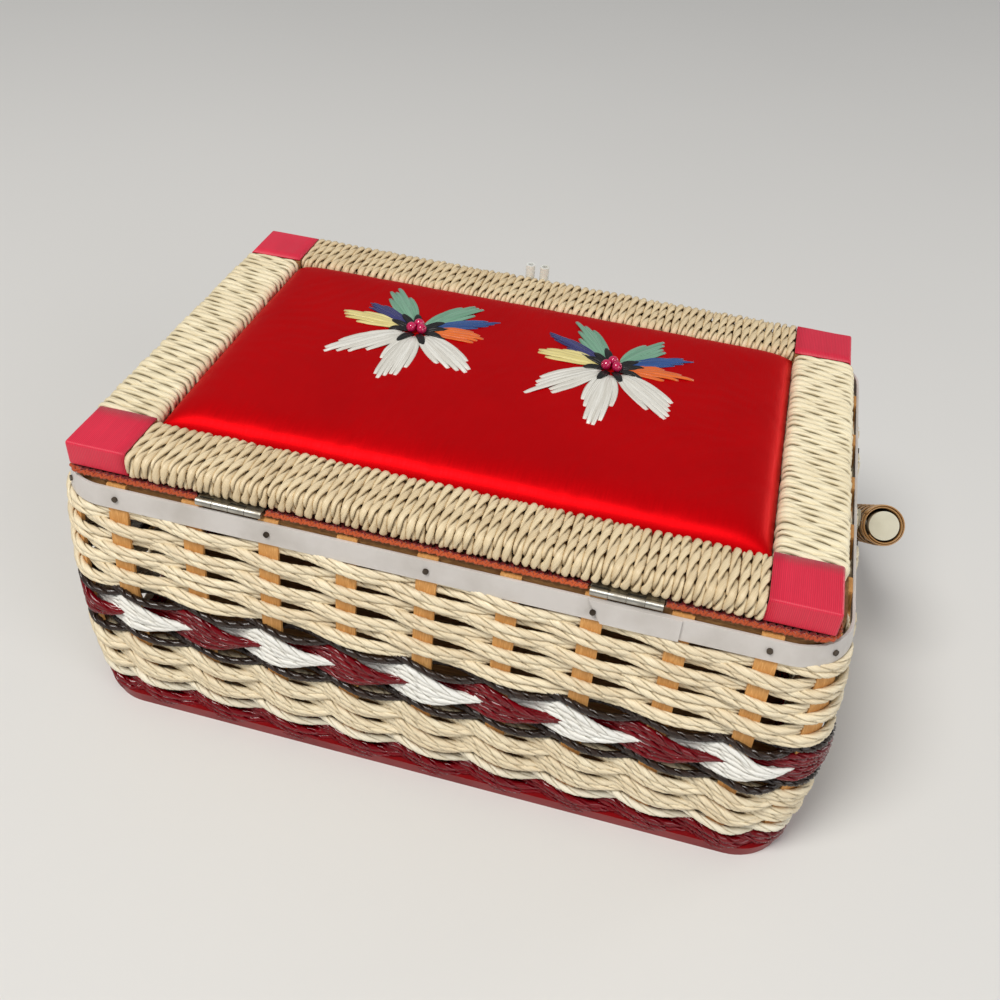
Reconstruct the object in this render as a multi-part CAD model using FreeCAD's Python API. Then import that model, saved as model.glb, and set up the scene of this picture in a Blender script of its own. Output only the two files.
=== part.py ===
import FreeCAD, Part
import math
import os

Vector = FreeCAD.Vector
ORIGIN = Vector(0, 0, 0)
X_AXIS = Vector(1, 0, 0)
Y_AXIS = Vector(0, 1, 0)
Z_AXIS = Vector(0, 0, 1)

# Driving dimensions in millimetres. The origin is the middle of the base on the table.
# X runs along the long side, Y points to the front, where the closure is, and Z is up.

# Basket wall, measured on the middle of the stakes
wall_half_length = 144.5
wall_half_depth = 93.0
wall_corner_radius = 18.0
wall_bulge = 5.5
wall_height = 121.0

# Stakes, the flat wooden uprights
stake_width = 7.6
stake_thickness = 1.5
stakes_per_long_side = 9
stakes_per_short_side = 5
long_side_end_space = 24.5
short_side_end_space = 33.0
stake_foot_lift = 0.4
stake_end_drop = 0.7
slot_clearance = 0.1

# Base
base_board_thickness = 5.0
base_rim_height = 6.0
base_rim_thickness = 3.2

# Woven courses from the base up; the upper natural course fills the height that is left
cord_diameter = 3.0
twined_cord_thickness = 3.4
red_course_height = 10.0
white_course_height = 4.5
lower_natural_height = 25.5
lower_dark_height = 4.5
twined_height = 16.5
upper_dark_height = 5.0
course_gap = 0.1

# Rim
hoop_height = 10.0
hoop_thickness = 6.0
band_height = 8.5
band_thickness = 1.0
band_top_drop = 1.5
band_overlap_lead = 2.0
band_overlap_length = 32.0
band_overlap_slant = 5.0
nail_shank_diameter = 1.0
nail_head_diameter = 2.2
nail_head_height = 0.7
nail_depth = 5.5
nail_clearance = 0.05

# Lid frame and its cord windings
lid_end_inset = 4.5
lid_side_inset = 1.0
lid_thickness = 11.2
lid_gap = 2.2
rail_width = 24.5
winding_cord_diameter = 3.0
winding_clearance = 0.3
winding_lead_radius = 3.6
winding_end_gap = 0.1
long_rail_loops = 24
short_rail_loops = 13
cover_thickness = 1.2
cover_edge_radius = 0.9
lap_clearance = 0.1

# Lid lining, braid, pad and flowers
braid_inset = 1.5
braid_width = 8.0
braid_thickness = 1.7
lining_thickness = 1.9
panel_clearance = 0.3
pad_board_thickness = 3.0
seat_gap = 0.1
pad_side_height = 6.2
pad_crown = 6.5
pad_end_crown = 1.0
pad_draw_in = 1.5
pad_side_swell = 0.6
flower_spacing = 84.0
flower_y = 21.0
raffia_thickness = 0.9
petal_start = 8.0
raffia_petal_length = 34.0
raffia_petal_width = 6.0
white_petal_length = 46.0
white_petal_width = 13.0
bead_diameter = 4.0
bead_spacing = 4.6

# Hinges
hinge_length = 25.4
hinge_knuckles = 4
hinge_knuckle_gap = 0.2
hinge_barrel_diameter = 3.0
hinge_pin_diameter = 1.6
hinge_pin_clearance = 0.04
hinge_leaf_thickness = 0.8
hinge_leaf_depth = 8.8
hinge_side_gap = 0.35
hinge_lift = 0.05
hinge_place = 73.0
hinge_pocket_clearance = 0.5
screw_inset = 6.1
screw_shank_diameter = 1.4
screw_head_diameter = 2.6
lower_screw_length = 7.0
upper_screw_length = 6.5
screw_clearance = 0.05

# Handle
handle_diameter = 18.0
handle_wrap_thickness = 3.0
handle_wrap_clearance = 0.1
handle_bar_reach = 26.1
handle_bend_radius = 32.0
handle_end_length = 8.0
handle_wall_gap = 0.45
handle_pivot_drop = 20.0
handle_table_gap = 0.2
bolt_diameter = 4.0
bolt_clearance = 0.06
bolt_head_diameter = 6.6
bolt_head_height = 2.2
bolt_head_gap = 0.2
bolt_head_cover = 0.3
bolt_end_length = 0.6
nut_width = 7.0
nut_height = 3.2
washer_diameter = 9.0
washer_thickness = 0.8
spacer_diameter = 9.6
spacer_gap = 0.25

# Closure loop and peg
closure_place = -7.5
loop_tube_diameter = 4.4
loop_tube_bore = 2.4
loop_leg_spacing = 6.8
loop_ring_radius = 9.5
loop_ring_distance = 22.0
loop_rise = 4.5
loop_pivot_lift = 2.8
loop_joint_gap = 0.3
loop_rest_angle = 45.0
loop_hooked_angle = 28.0
loop_face_gap = 0.3
loop_nail_lift = 4.0
loop_nail_diameter = 1.2
loop_nail_head_diameter = 3.0
loop_nail_depth = 5.0
peg_shank_diameter = 5.0
peg_head_diameter = 8.4
peg_head_thickness = 3.0
peg_head_gap = 0.45
peg_screw_diameter = 2.0
peg_screw_head_diameter = 5.0
peg_screw_head_height = 1.2
peg_screw_end_gap = 1.5

# Heights and places that follow from the driving dimensions
bulge_radius = ((wall_height / 2) ** 2 + wall_bulge ** 2) / (2 * wall_bulge)
stake_skin = stake_thickness / 2
weave_layer = stake_skin + cord_diameter
twined_layer = stake_skin + twined_cord_thickness
hoop_bottom = wall_height - hoop_height
hoop_outer_layer = -stake_skin - seat_gap
band_inner_layer = stake_skin + seat_gap
band_outer_layer = band_inner_layer + band_thickness
band_top = wall_height - band_top_drop
band_bottom = band_top - band_height
weave_top = min(band_bottom, hoop_bottom) - course_gap
lid_length = 2 * (wall_half_length - lid_end_inset)
lid_depth = 2 * (wall_half_depth - lid_side_inset)
lid_bottom = wall_height + lid_gap
lid_top = lid_bottom + lid_thickness
lid_middle = (lid_bottom + lid_top) / 2
rail_offset_x = lid_length / 2 - rail_width / 2
rail_offset_y = lid_depth / 2 - rail_width / 2
long_rail_length = lid_length - 2 * rail_width
short_rail_length = lid_depth - 2 * rail_width
loop_half_width = rail_width / 2 - winding_cord_diameter / 2
loop_half_height = lid_thickness / 2 - winding_cord_diameter / 2
core_inset = winding_cord_diameter / 2 + winding_clearance
handle_core_diameter = handle_diameter - 2 * handle_wrap_thickness
handle_pivot_height = min(band_bottom, hoop_bottom) - handle_pivot_drop
handle_pivot_forward = (wall_half_depth - short_side_end_space) / (stakes_per_short_side - 1)
handle_drop = handle_pivot_height - handle_diameter / 2 - handle_table_gap
handle_forward = wall_half_depth + handle_bar_reach - handle_pivot_forward
handle_arm_length = math.hypot(handle_drop, handle_forward)


def wall_offset(height, layer):
    """How far a layer of the wall stands out from the wall's outline at a height."""
    rise = height - wall_height / 2
    return math.sqrt((bulge_radius + layer) ** 2 - rise ** 2) - bulge_radius + wall_bulge


def wall_lean(height):
    """The angle, in radians, by which the wall's outward normal points up at a height."""
    return math.asin((height - wall_height / 2) / bulge_radius)


def single(shape):
    """The one solid of a fused or cut shape, with needless seams taken out."""
    return shape.removeSplitter().Solids[0]


def turned(shape, angle, axis=Z_AXIS, centre=ORIGIN):
    """A copy of a shape turned about an axis, in degrees."""
    copy = shape.copy()
    copy.rotate(centre, axis, angle)
    return copy


def moved(shape, x, y, z):
    """A copy of a shape moved along the three axes."""
    copy = shape.copy()
    copy.translate(Vector(x, y, z))
    return copy


def mirrored(shape):
    """A copy of a shape mirrored from the right end of the box to the left."""
    return shape.mirror(ORIGIN, X_AXIS)


def box_between(low, high):
    """A box from its lowest corner to its highest."""
    size = high - low
    return Part.makeBox(size.x, size.y, size.z, low)


def rounded_plate(half_length, half_depth, radius, low, high):
    """A flat plate with rounded corners, lying between two heights."""
    def point(x, y):
        return Vector(x, y, low)

    inner_x = half_length - radius
    inner_y = half_depth - radius
    diagonal = radius * math.sqrt(0.5)
    edges = []
    for sign_x, sign_y in ((1, 1), (-1, 1), (-1, -1), (1, -1)):
        side_end = point(sign_x * half_length, sign_y * inner_y)
        corner = point(sign_x * (inner_x + diagonal), sign_y * (inner_y + diagonal))
        end_end = point(sign_x * inner_x, sign_y * half_depth)
        ends = (side_end, end_end) if sign_x == sign_y else (end_end, side_end)
        if edges:
            edges.append(Part.makeLine(edges[-1].Vertexes[-1].Point, ends[0]))
        edges.append(Part.Arc(ends[0], corner, ends[1]).toShape())
    edges.append(Part.makeLine(edges[-1].Vertexes[-1].Point, edges[0].Vertexes[0].Point))
    return Part.Face(Part.Wire(edges)).extrude(Vector(0, 0, high - low))


def wall_section(low, high, inner, outer):
    """The wall's section between two heights and two layers, as a face whose x is the offset."""
    def point(height, layer):
        return Vector(wall_offset(height, layer), 0, height)

    middle = (low + high) / 2
    edges = [
        Part.Arc(point(low, outer), point(middle, outer), point(high, outer)).toShape(),
        Part.makeLine(point(high, outer), point(high, inner)),
        Part.Arc(point(high, inner), point(middle, inner), point(low, inner)).toShape(),
        Part.makeLine(point(low, inner), point(low, outer)),
    ]
    return Part.Face(Part.Wire(edges))


def side_half_size(quarter):
    """Half the wall's size across the side of a quarter: right, front, left and back in turn."""
    return wall_half_length if quarter % 2 == 0 else wall_half_depth


def along_side(section, quarter, place, length):
    """A wall section run along one side, centred on a place along it."""
    start = moved(section, side_half_size(quarter), place - length / 2, 0)
    return turned(start.extrude(Vector(0, length, 0)), 90 * quarter)


def round_corner(section, quarter, start_angle, sweep):
    """A wall section turned round the corner that follows a side."""
    start = turned(moved(section, wall_corner_radius, 0, 0), 90 * quarter + start_angle)
    solid = start.revolve(ORIGIN, Z_AXIS, sweep)
    centre = corner_centre(quarter)
    return moved(solid, centre.x, centre.y, 0)


def corner_centre(quarter):
    """The centre of the corner that follows a side."""
    sign_x = (1, -1, -1, 1)[quarter]
    sign_y = (1, 1, -1, -1)[quarter]
    reach_x = wall_half_length - wall_corner_radius
    reach_y = wall_half_depth - wall_corner_radius
    return Vector(sign_x * reach_x, sign_y * reach_y, 0)


def wall_ring(low, high, inner, outer):
    """A closed ring of the wall between two heights and two layers."""
    section = wall_section(low, high, inner, outer)
    pieces = []
    for quarter in range(4):
        run = 2 * (side_half_size(quarter + 1) - wall_corner_radius)
        pieces.append(along_side(section, quarter, 0, run))
        pieces.append(round_corner(section, quarter, 0, 90))
    return single(pieces[0].multiFuse(pieces[1:]))


def stakes_on(quarter):
    """How many stakes stand on a side, without its corners."""
    return stakes_per_short_side if quarter % 2 == 0 else stakes_per_long_side


def stake_spacing(quarter):
    """The distance from one stake to the next along a side."""
    end_space = short_side_end_space if quarter % 2 == 0 else long_side_end_space
    return 2 * (side_half_size(quarter + 1) - end_space) / (stakes_on(quarter) - 1)


def side_places(quarter):
    """Where the stakes stand along a side, from its middle."""
    count = stakes_on(quarter)
    return [(index - (count - 1) / 2) * stake_spacing(quarter) for index in range(count)]


def wall_strip(quarter, place, low, high, layers, width):
    """A strip of the wall at a stake's place; the place None is the corner after that side."""
    section = wall_section(low, high, layers[0], layers[1])
    if place is not None:
        return along_side(section, quarter, place, width)
    sweep = math.degrees(width / wall_corner_radius)
    return round_corner(section, quarter, 45 - sweep / 2, sweep)


def wall_point(quarter, place, height, layer):
    """A point of a wall layer and the outward direction there."""
    lean = wall_lean(height)
    outward = Vector(math.cos(lean), 0, math.sin(lean))
    offset = wall_offset(height, layer)
    if place is not None:
        local = Vector(side_half_size(quarter) + offset, place, height)
        centre = ORIGIN
        angle = 90 * quarter
    else:
        local = Vector(wall_corner_radius + offset, 0, height)
        centre = corner_centre(quarter)
        angle = 90 * quarter + 45
    turn = FreeCAD.Rotation(Z_AXIS, angle)
    return turn.multVec(local) + centre, turn.multVec(outward)


def rod(start, direction, diameter, length):
    """A round rod from a start point."""
    return Part.makeCylinder(diameter / 2, length, start, direction)


def make_stakes():
    """The stakes of each side and of the corners, and the slots that they need in the weave."""
    low = stake_foot_lift
    high = wall_height - stake_end_drop
    names = ("right_stakes", "front_stakes", "left_stakes", "back_stakes")
    groups = {name: [] for name in names}
    groups["corner_stakes"] = []
    slots = []
    layers = (-stake_skin, stake_skin)
    slot_layers = (-stake_skin - slot_clearance, stake_skin + slot_clearance)
    slot_width = stake_width + 2 * slot_clearance
    for quarter, name in enumerate(names):
        for place in side_places(quarter) + [None]:
            group = name if place is not None else "corner_stakes"
            groups[group].append(wall_strip(quarter, place, low, high, layers, stake_width))
            slots.append(wall_strip(quarter, place, 0, wall_height, slot_layers, slot_width))
    return groups, slots


def make_courses(slots):
    """The woven courses from the base up, each a ring with the stakes' slots through it."""
    heights = (
        ("red_lower_weave", red_course_height, weave_layer),
        ("white_edge_course", white_course_height, weave_layer),
        ("lower_natural_weave", lower_natural_height, weave_layer),
        ("lower_dark_course", lower_dark_height, weave_layer),
        ("twined_course", twined_height, twined_layer),
        ("upper_dark_course", upper_dark_height, weave_layer),
    )
    courses = {}
    low = base_rim_height
    for name, height, layer in heights:
        courses[name] = wall_ring(low + course_gap, low + height, -layer, layer).cut(slots)
        low += height
    top_course = wall_ring(low + course_gap, weave_top, -weave_layer, weave_layer)
    courses["upper_natural_weave"] = top_course.cut(slots)
    return courses


def split_twined_course(course):
    """The twined course as white and red leaves that change at each gap between two stakes.

    A white leaf lies over the middle stake of the back.
    """
    reach = wall_bulge + 2 * twined_layer
    cuts = []
    for quarter in range(4):
        half = side_half_size(quarter)
        places = side_places(quarter)
        spacing = stake_spacing(quarter)
        for place in [places[0] - spacing] + places:
            middle = place + spacing / 2
            knife = box_between(
                Vector(half - reach, middle - course_gap / 2, 0),
                Vector(half + reach, middle + course_gap / 2, wall_height),
            )
            cuts.append(turned(knife, 90 * quarter))

    def turn_from_back(piece):
        centre = piece.CenterOfMass
        return math.atan2(centre.x, -centre.y)

    leaves = sorted(course.cut(cuts).Solids, key=turn_from_back)
    back_middle = min(range(len(leaves)), key=lambda index: abs(turn_from_back(leaves[index])))
    white = [leaf for index, leaf in enumerate(leaves) if (index - back_middle) % 2 == 0]
    red = [leaf for index, leaf in enumerate(leaves) if (index - back_middle) % 2 == 1]
    return {"white_twined_course": white, "red_twined_course": red}


def make_base():
    """The base board inside the feet of the stakes, and the painted rim outside them."""
    inset = -wall_offset(0, -stake_skin - seat_gap)
    board = rounded_plate(
        wall_half_length - inset, wall_half_depth - inset, wall_corner_radius - inset, 0, base_board_thickness
    )
    inner = stake_skin + seat_gap
    rim = wall_ring(0, base_rim_height, inner, inner + base_rim_thickness)
    return board, rim


def nail_places():
    """Each nailed stake: every other stake of a side, and the corners."""
    places = []
    for quarter in range(4):
        stakes = side_places(quarter)
        first = 0 if quarter % 2 else 1
        places += [(quarter, place) for place in stakes[first::2]]
        places.append((quarter, None))
    return places


def make_rim():
    """The wooden hoop inside the stakes, the plastic band outside them, and the nails through all."""
    hoop = wall_ring(hoop_bottom, wall_height, hoop_outer_layer - hoop_thickness, hoop_outer_layer)
    band = wall_ring(band_bottom, band_top, band_inner_layer, band_outer_layer)
    back = 3
    lap_layers = (band_outer_layer - band_thickness / 2, band_outer_layer + band_thickness)
    lap_stake = stakes_per_long_side // 2 + 2
    lap_start = side_places(back)[lap_stake] - band_overlap_lead
    lap_middle = lap_start + band_overlap_length / 2
    lap = wall_strip(back, lap_middle, band_bottom, band_top, lap_layers, band_overlap_length)
    slant_low = Vector(lap_start, -2 * wall_half_depth, band_bottom)
    slant_high = Vector(lap_start + band_overlap_slant, -2 * wall_half_depth, band_bottom)
    slant_tip = Vector(lap_start, -2 * wall_half_depth, band_top)
    slant = Part.Face(Part.makePolygon([slant_low, slant_high, slant_tip, slant_low]))
    lap = lap.cut(slant.extrude(Vector(0, 2 * wall_half_depth, 0)))
    band = single(band.fuse(lap))

    nails = []
    holes = []
    height = (band_top + band_bottom) / 2
    for quarter, place in nail_places():
        lapped = quarter == back and place is not None and abs(place - lap_middle) < band_overlap_length / 2
        layer = band_outer_layer + (band_thickness if lapped else 0)
        point, outward = wall_point(quarter, place, height, layer + nail_clearance)
        head = rod(point, outward, nail_head_diameter, nail_head_height)
        shank = rod(point, outward * -1, nail_shank_diameter, nail_depth)
        nails.append(head.fuse(shank))
        hole_diameter = nail_shank_diameter + 2 * nail_clearance
        holes.append(rod(point, outward * -1, hole_diameter, nail_depth + nail_clearance))
    return hoop.cut(holes), band.cut(holes), nails, holes


def oval_arcs(inset):
    """The joints and middles of a winding's four arcs, drawn in by an inset, in a rail's section."""
    across = loop_half_width
    up = loop_half_height
    reach = (math.sqrt((across + up) ** 2 + 2 * (across ** 2 + up ** 2)) - across - up) / 2
    joint = Vector(0, (across + reach) / 2, (up + reach) / 2)
    end_radius = ((across - joint.y) ** 2 + joint.z ** 2) / (2 * (across - joint.y))
    end_centre = Vector(0, across - end_radius, 0)
    joint = end_centre + (joint - end_centre) * ((end_radius - inset) / end_radius)
    return across - inset, up - inset, joint.y, joint.z


def rail_core(length):
    """A rounded wooden bar along X, centred on the origin, that a winding fits over."""
    across, up, joint_y, joint_z = oval_arcs(core_inset)

    def point(y, z):
        return Vector(-length / 2, y, z)

    edges = [
        Part.Arc(point(joint_y, -joint_z), point(across, 0), point(joint_y, joint_z)).toShape(),
        Part.Arc(point(joint_y, joint_z), point(0, up), point(-joint_y, joint_z)).toShape(),
        Part.Arc(point(-joint_y, joint_z), point(-across, 0), point(-joint_y, -joint_z)).toShape(),
        Part.Arc(point(-joint_y, -joint_z), point(0, -up), point(joint_y, -joint_z)).toShape(),
    ]
    return Part.Face(Part.Wire(edges)).extrude(Vector(length, 0, 0))


def arc_edge(start, corner, end):
    """The arc between two points whose end tangents meet at a corner point."""
    chord_middle = (start + end) * 0.5
    rise = corner - chord_middle
    half_chord = (end - start).Length / 2
    half_turn = math.atan2(rise.Length, half_chord)
    middle = chord_middle + rise * (half_chord * math.tan(half_turn / 2) / rise.Length)
    return Part.Arc(start, middle, end).toShape()


def biarc_edges(start, start_way, end, end_way):
    """Two tangent arcs from one point and direction to another."""
    span = end - start
    ways = start_way + end_way
    spread = 2 * (1 - start_way.dot(end_way))
    lean = span.dot(ways)
    reach = (math.sqrt(lean ** 2 + spread * span.dot(span)) - lean) / spread
    first = start + start_way * reach
    second = end - end_way * reach
    joint = (first + second) * 0.5
    return [arc_edge(start, first, joint), arc_edge(joint, second, end)]


def winding_run(length):
    """The stretch of a winding that has its loops, without the leads at its two ends."""
    return length - 2 * (winding_end_gap + winding_cord_diameter + winding_lead_radius)


def long_rail_pitch():
    """The distance from one loop to the next on the long rails."""
    return winding_run(long_rail_length) / long_rail_loops


def nearest_turn(place, share):
    """The place nearest to a wanted one that lies a share of a turn after the start of a loop.

    On a long rail's outer side a cord crosses at a share of a quarter, and the middle of the
    gap between two cords is at three quarters.
    """
    pitch = long_rail_pitch()
    start = -winding_run(long_rail_length) / 2 + share * pitch
    return start + pitch * round((place - start) / pitch)


def make_winding(name, length, loops, side):
    """A cord wound along X round a rail, as one unbroken tube; side is 1 or -1 along Y."""
    run = winding_run(length)
    pitch = run / loops
    wide = loop_half_width
    high = loop_half_height
    quarter_turn = biarc_edges(Vector(0, wide, 0), Z_AXIS, Vector(0, 0, high), Y_AXIS * -1)
    girth = 4 * sum(edge.Length for edge in quarter_turn)
    slope = X_AXIS * (pitch / girth)
    stations = (
        (Vector(0, 0, -high), Y_AXIS * side),
        (Vector(0, side * wide, 0), Z_AXIS),
        (Vector(0, 0, high), Y_AXIS * -side),
        (Vector(0, -side * wide, 0), Z_AXIS * -1),
    )
    points = []
    ways = []
    for quarter in range(4 * loops + 1):
        place, way = stations[quarter % 4]
        points.append(place + X_AXIS * (-run / 2 + pitch * quarter / 4))
        ends_here = quarter in (0, 4 * loops)
        ways.append(way if ends_here else (way + slope).normalize())

    radius = winding_lead_radius
    straight = X_AXIS * winding_cord_diameter
    lead_in = points[0] - X_AXIS * radius - Y_AXIS * (side * radius)
    lead_out = points[-1] + X_AXIS * radius + Y_AXIS * (side * radius)
    edges = [Part.makeLine(lead_in - straight, lead_in)]
    edges.append(arc_edge(lead_in, lead_in + X_AXIS * radius, points[0]))
    for index in range(len(points) - 1):
        edges += biarc_edges(points[index], ways[index], points[index + 1], ways[index + 1])
    edges.append(arc_edge(points[-1], points[-1] + Y_AXIS * (side * radius), lead_out))
    edges.append(Part.makeLine(lead_out, lead_out + straight))
    route = Part.Wire(edges)
    section = Part.Wire(Part.makeCircle(winding_cord_diameter / 2, lead_in - straight, X_AXIS))
    tube = route.makePipeShell([section], True, False)
    report_winding(name, route, tube, loops)
    return tube


def report_winding(name, route, tube, loops):
    """Print a winding's least gap to itself and its volume against its section times its length."""
    per_loop = 24
    samples = route.discretize(Number=per_loop * loops)
    apart = int(per_loop * 0.6)
    least = min(
        (samples[one] - samples[other]).Length
        for one in range(len(samples))
        for other in range(one + apart, min(one + 2 * per_loop, len(samples)))
    )
    section_area = math.pi * winding_cord_diameter ** 2 / 4
    share = tube.Volume / (section_area * route.Length)
    print("%s: least gap to itself %.2f mm, volume share %.4f" % (name, least - winding_cord_diameter, share))


def make_frame():
    """The four rails with their lapped ends, the four windings and the four corner covers."""
    nodes = {}
    long_core = moved(rail_core(long_rail_length), 0, 0, lid_middle)
    short_core = moved(turned(rail_core(short_rail_length), 90), 0, 0, lid_middle)
    outer_x = lid_length / 2
    outer_y = lid_depth / 2
    inner_x = outer_x - rail_width
    inner_y = outer_y - rail_width
    skin = cover_thickness + lap_clearance
    lap_low = Vector(inner_x, inner_y + lap_clearance, lid_bottom + skin)
    lap_high = Vector(outer_x - skin, outer_y - skin, lid_middle - lap_clearance / 2)
    lower_lap = box_between(lap_low, lap_high)
    lap_low = Vector(inner_x + lap_clearance, inner_y, lid_middle + lap_clearance / 2)
    lap_high = Vector(outer_x - skin, outer_y - skin, lid_top - skin)
    upper_lap = box_between(lap_low, lap_high)

    front = moved(long_core, 0, rail_offset_y, 0).multiFuse([lower_lap, mirrored(lower_lap)])
    right = moved(short_core, rail_offset_x, 0, 0).multiFuse([upper_lap, upper_lap.mirror(ORIGIN, Y_AXIS)])
    nodes["front_rail"] = single(front)
    nodes["back_rail"] = single(front.mirror(ORIGIN, Y_AXIS))
    nodes["right_rail"] = single(right)
    nodes["left_rail"] = single(mirrored(right))

    winding = make_winding("front_winding", long_rail_length, long_rail_loops, 1)
    nodes["front_winding"] = moved(winding, 0, rail_offset_y, lid_middle)
    winding = make_winding("back_winding", long_rail_length, long_rail_loops, -1)
    nodes["back_winding"] = moved(winding, 0, -rail_offset_y, lid_middle)
    winding = turned(make_winding("right_winding", short_rail_length, short_rail_loops, -1), 90)
    nodes["right_winding"] = moved(winding, rail_offset_x, 0, lid_middle)
    winding = turned(make_winding("left_winding", short_rail_length, short_rail_loops, 1), 90)
    nodes["left_winding"] = moved(winding, -rail_offset_x, 0, lid_middle)

    block = box_between(Vector(inner_x, inner_y, lid_bottom), Vector(outer_x, outer_y, lid_top))
    rounded = [
        edge for edge in block.Edges
        if edge.CenterOfMass.x > outer_x - rail_width / 4 and edge.CenterOfMass.y > outer_y - rail_width / 4
    ]
    for edge in block.Edges:
        middle = edge.CenterOfMass
        on_outside = middle.x > outer_x - cover_thickness or middle.y > outer_y - cover_thickness
        if middle.z > lid_top - cover_thickness and on_outside:
            rounded.append(edge)
    block = block.makeFillet(cover_edge_radius, rounded)
    cavity = box_between(
        Vector(inner_x - cover_thickness, inner_y - cover_thickness, lid_bottom + cover_thickness),
        Vector(outer_x - cover_thickness, outer_y - cover_thickness, lid_top - cover_thickness),
    )
    cover = single(block.cut(cavity))
    nodes["front_right_cover"] = cover
    nodes["front_left_cover"] = mirrored(cover)
    nodes["back_right_cover"] = cover.mirror(ORIGIN, Y_AXIS)
    nodes["back_left_cover"] = mirrored(cover.mirror(ORIGIN, Y_AXIS))
    return nodes


def pad_section(x, half_width, low, shoulder, crown):
    """The pad's section across the lid: flat below, swelling sides and a crowned top."""
    foot = half_width - pad_draw_in
    side_height = (low + shoulder) / 2
    swell = half_width - pad_draw_in / 2 + pad_side_swell / 2

    def point(y, z):
        return Vector(x, y, z)

    left = point(-half_width, shoulder)
    right = point(half_width, shoulder)
    return Part.Wire([
        Part.makeLine(point(-foot, low), point(foot, low)),
        Part.Arc(point(foot, low), point(swell, side_height), right).toShape(),
        Part.Arc(right, point(0, shoulder + crown), left).toShape(),
        Part.Arc(left, point(-swell, side_height), point(-foot, low)).toShape(),
    ])


def make_pad(low):
    """The satin pad, crowned both ways, that stands on the board inside the frame."""
    half_length = long_rail_length / 2 - panel_clearance
    half_width = short_rail_length / 2 - panel_clearance - pad_side_swell
    shoulder = low + pad_side_height
    sections = []
    for share in (-1, -0.5, 0, 0.5, 1):
        crown = pad_end_crown + (pad_crown - pad_end_crown) * (1 - share ** 2)
        sections.append(pad_section(share * half_length, half_width, low, shoulder, crown))
    return Part.makeLoft(sections, True, False)


def petal_prism(x, y, angle, length, width):
    """An upright prism over a leaf-shaped petal that starts beside a flower's centre."""
    middle = (petal_start + length) / 2
    base = Vector(petal_start, 0, 0)
    tip = Vector(length, 0, 0)
    edges = [
        Part.Arc(base, Vector(middle, -width / 2, 0), tip).toShape(),
        Part.Arc(tip, Vector(middle, width / 2, 0), base).toShape(),
    ]
    prism = Part.Face(Part.Wire(edges)).extrude(Vector(0, 0, 2 * lid_top))
    return moved(turned(prism, angle), x, y, 0)


def make_flower(x, pad):
    """The raffia petals of one flower, lying on the pad's crown.

    Each petal has its direction in degrees and its share of the usual length.
    """
    coloured = ((4, 0.97), (29, 1.06), (53, 1.0), (125, 1.03), (152, 0.91), (177, 1.0))
    white = ((228, 0.98), (272, 1.04), (318, 0.96))
    petals = [(way, share * raffia_petal_length, raffia_petal_width) for way, share in coloured]
    petals += [(way, share * white_petal_length, white_petal_width) for way, share in white]
    raised = moved(pad, 0, 0, raffia_thickness)
    solids = []
    for way, length, width in petals:
        solids += petal_prism(x, flower_y, way, length, width).common(raised).cut(pad).Solids
    return solids


def make_beads(pad):
    """Three beads at the centre of each flower, on top of the pad."""
    beads = []
    for side in (-1, 1):
        for index in range(3):
            angle = math.radians(90 + 120 * index)
            reach = bead_spacing / math.sqrt(3)
            x = side * flower_spacing / 2 + reach * math.cos(angle)
            y = flower_y + reach * math.sin(angle)
            probe = Part.makeLine(Vector(x, y, lid_middle), Vector(x, y, 2 * lid_top))
            top = pad.common(probe).BoundBox.ZMax
            beads.append(Part.makeSphere(bead_diameter / 2, Vector(x, y, top + bead_diameter / 2 + seat_gap)))
    return beads


def countersunk_screw(point, way, length, clearance):
    """A screw whose head is flush with a point and whose shank runs the given way."""
    head_radius = screw_head_diameter / 2 + clearance
    shank_radius = screw_shank_diameter / 2 + clearance
    head = Part.makeCone(head_radius, shank_radius, hinge_leaf_thickness, point, way)
    shank = Part.makeCylinder(shank_radius, length + clearance, point, way)
    return head.fuse(shank)


def hinge_leaf(centre_x, axis_y, axis_z, low, high, knuckles):
    """One hinge leaf with its knuckles, and room for the knuckles of the other leaf."""
    barrel_radius = hinge_barrel_diameter / 2
    bore_radius = hinge_pin_diameter / 2 + hinge_pin_clearance
    step = hinge_length / hinge_knuckles
    start = centre_x - hinge_length / 2
    leaf = box_between(
        Vector(start, axis_y, low), Vector(start + hinge_length, axis_y + hinge_leaf_depth, high)
    )
    for index in range(hinge_knuckles):
        place = Vector(start + index * step, axis_y, axis_z)
        if index in knuckles:
            inset = X_AXIS * (hinge_knuckle_gap / 2)
            knuckle = Part.makeCylinder(barrel_radius, step - hinge_knuckle_gap, place + inset, X_AXIS)
            leaf = leaf.fuse(knuckle)
        else:
            reach = barrel_radius + hinge_side_gap
            room = box_between(place - Vector(0, reach, reach), place + Vector(step, reach, reach))
            leaf = leaf.cut(room)
    bore = Part.makeCylinder(bore_radius, hinge_length, Vector(start, axis_y, axis_z), X_AXIS)
    return single(leaf.cut(bore))


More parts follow.
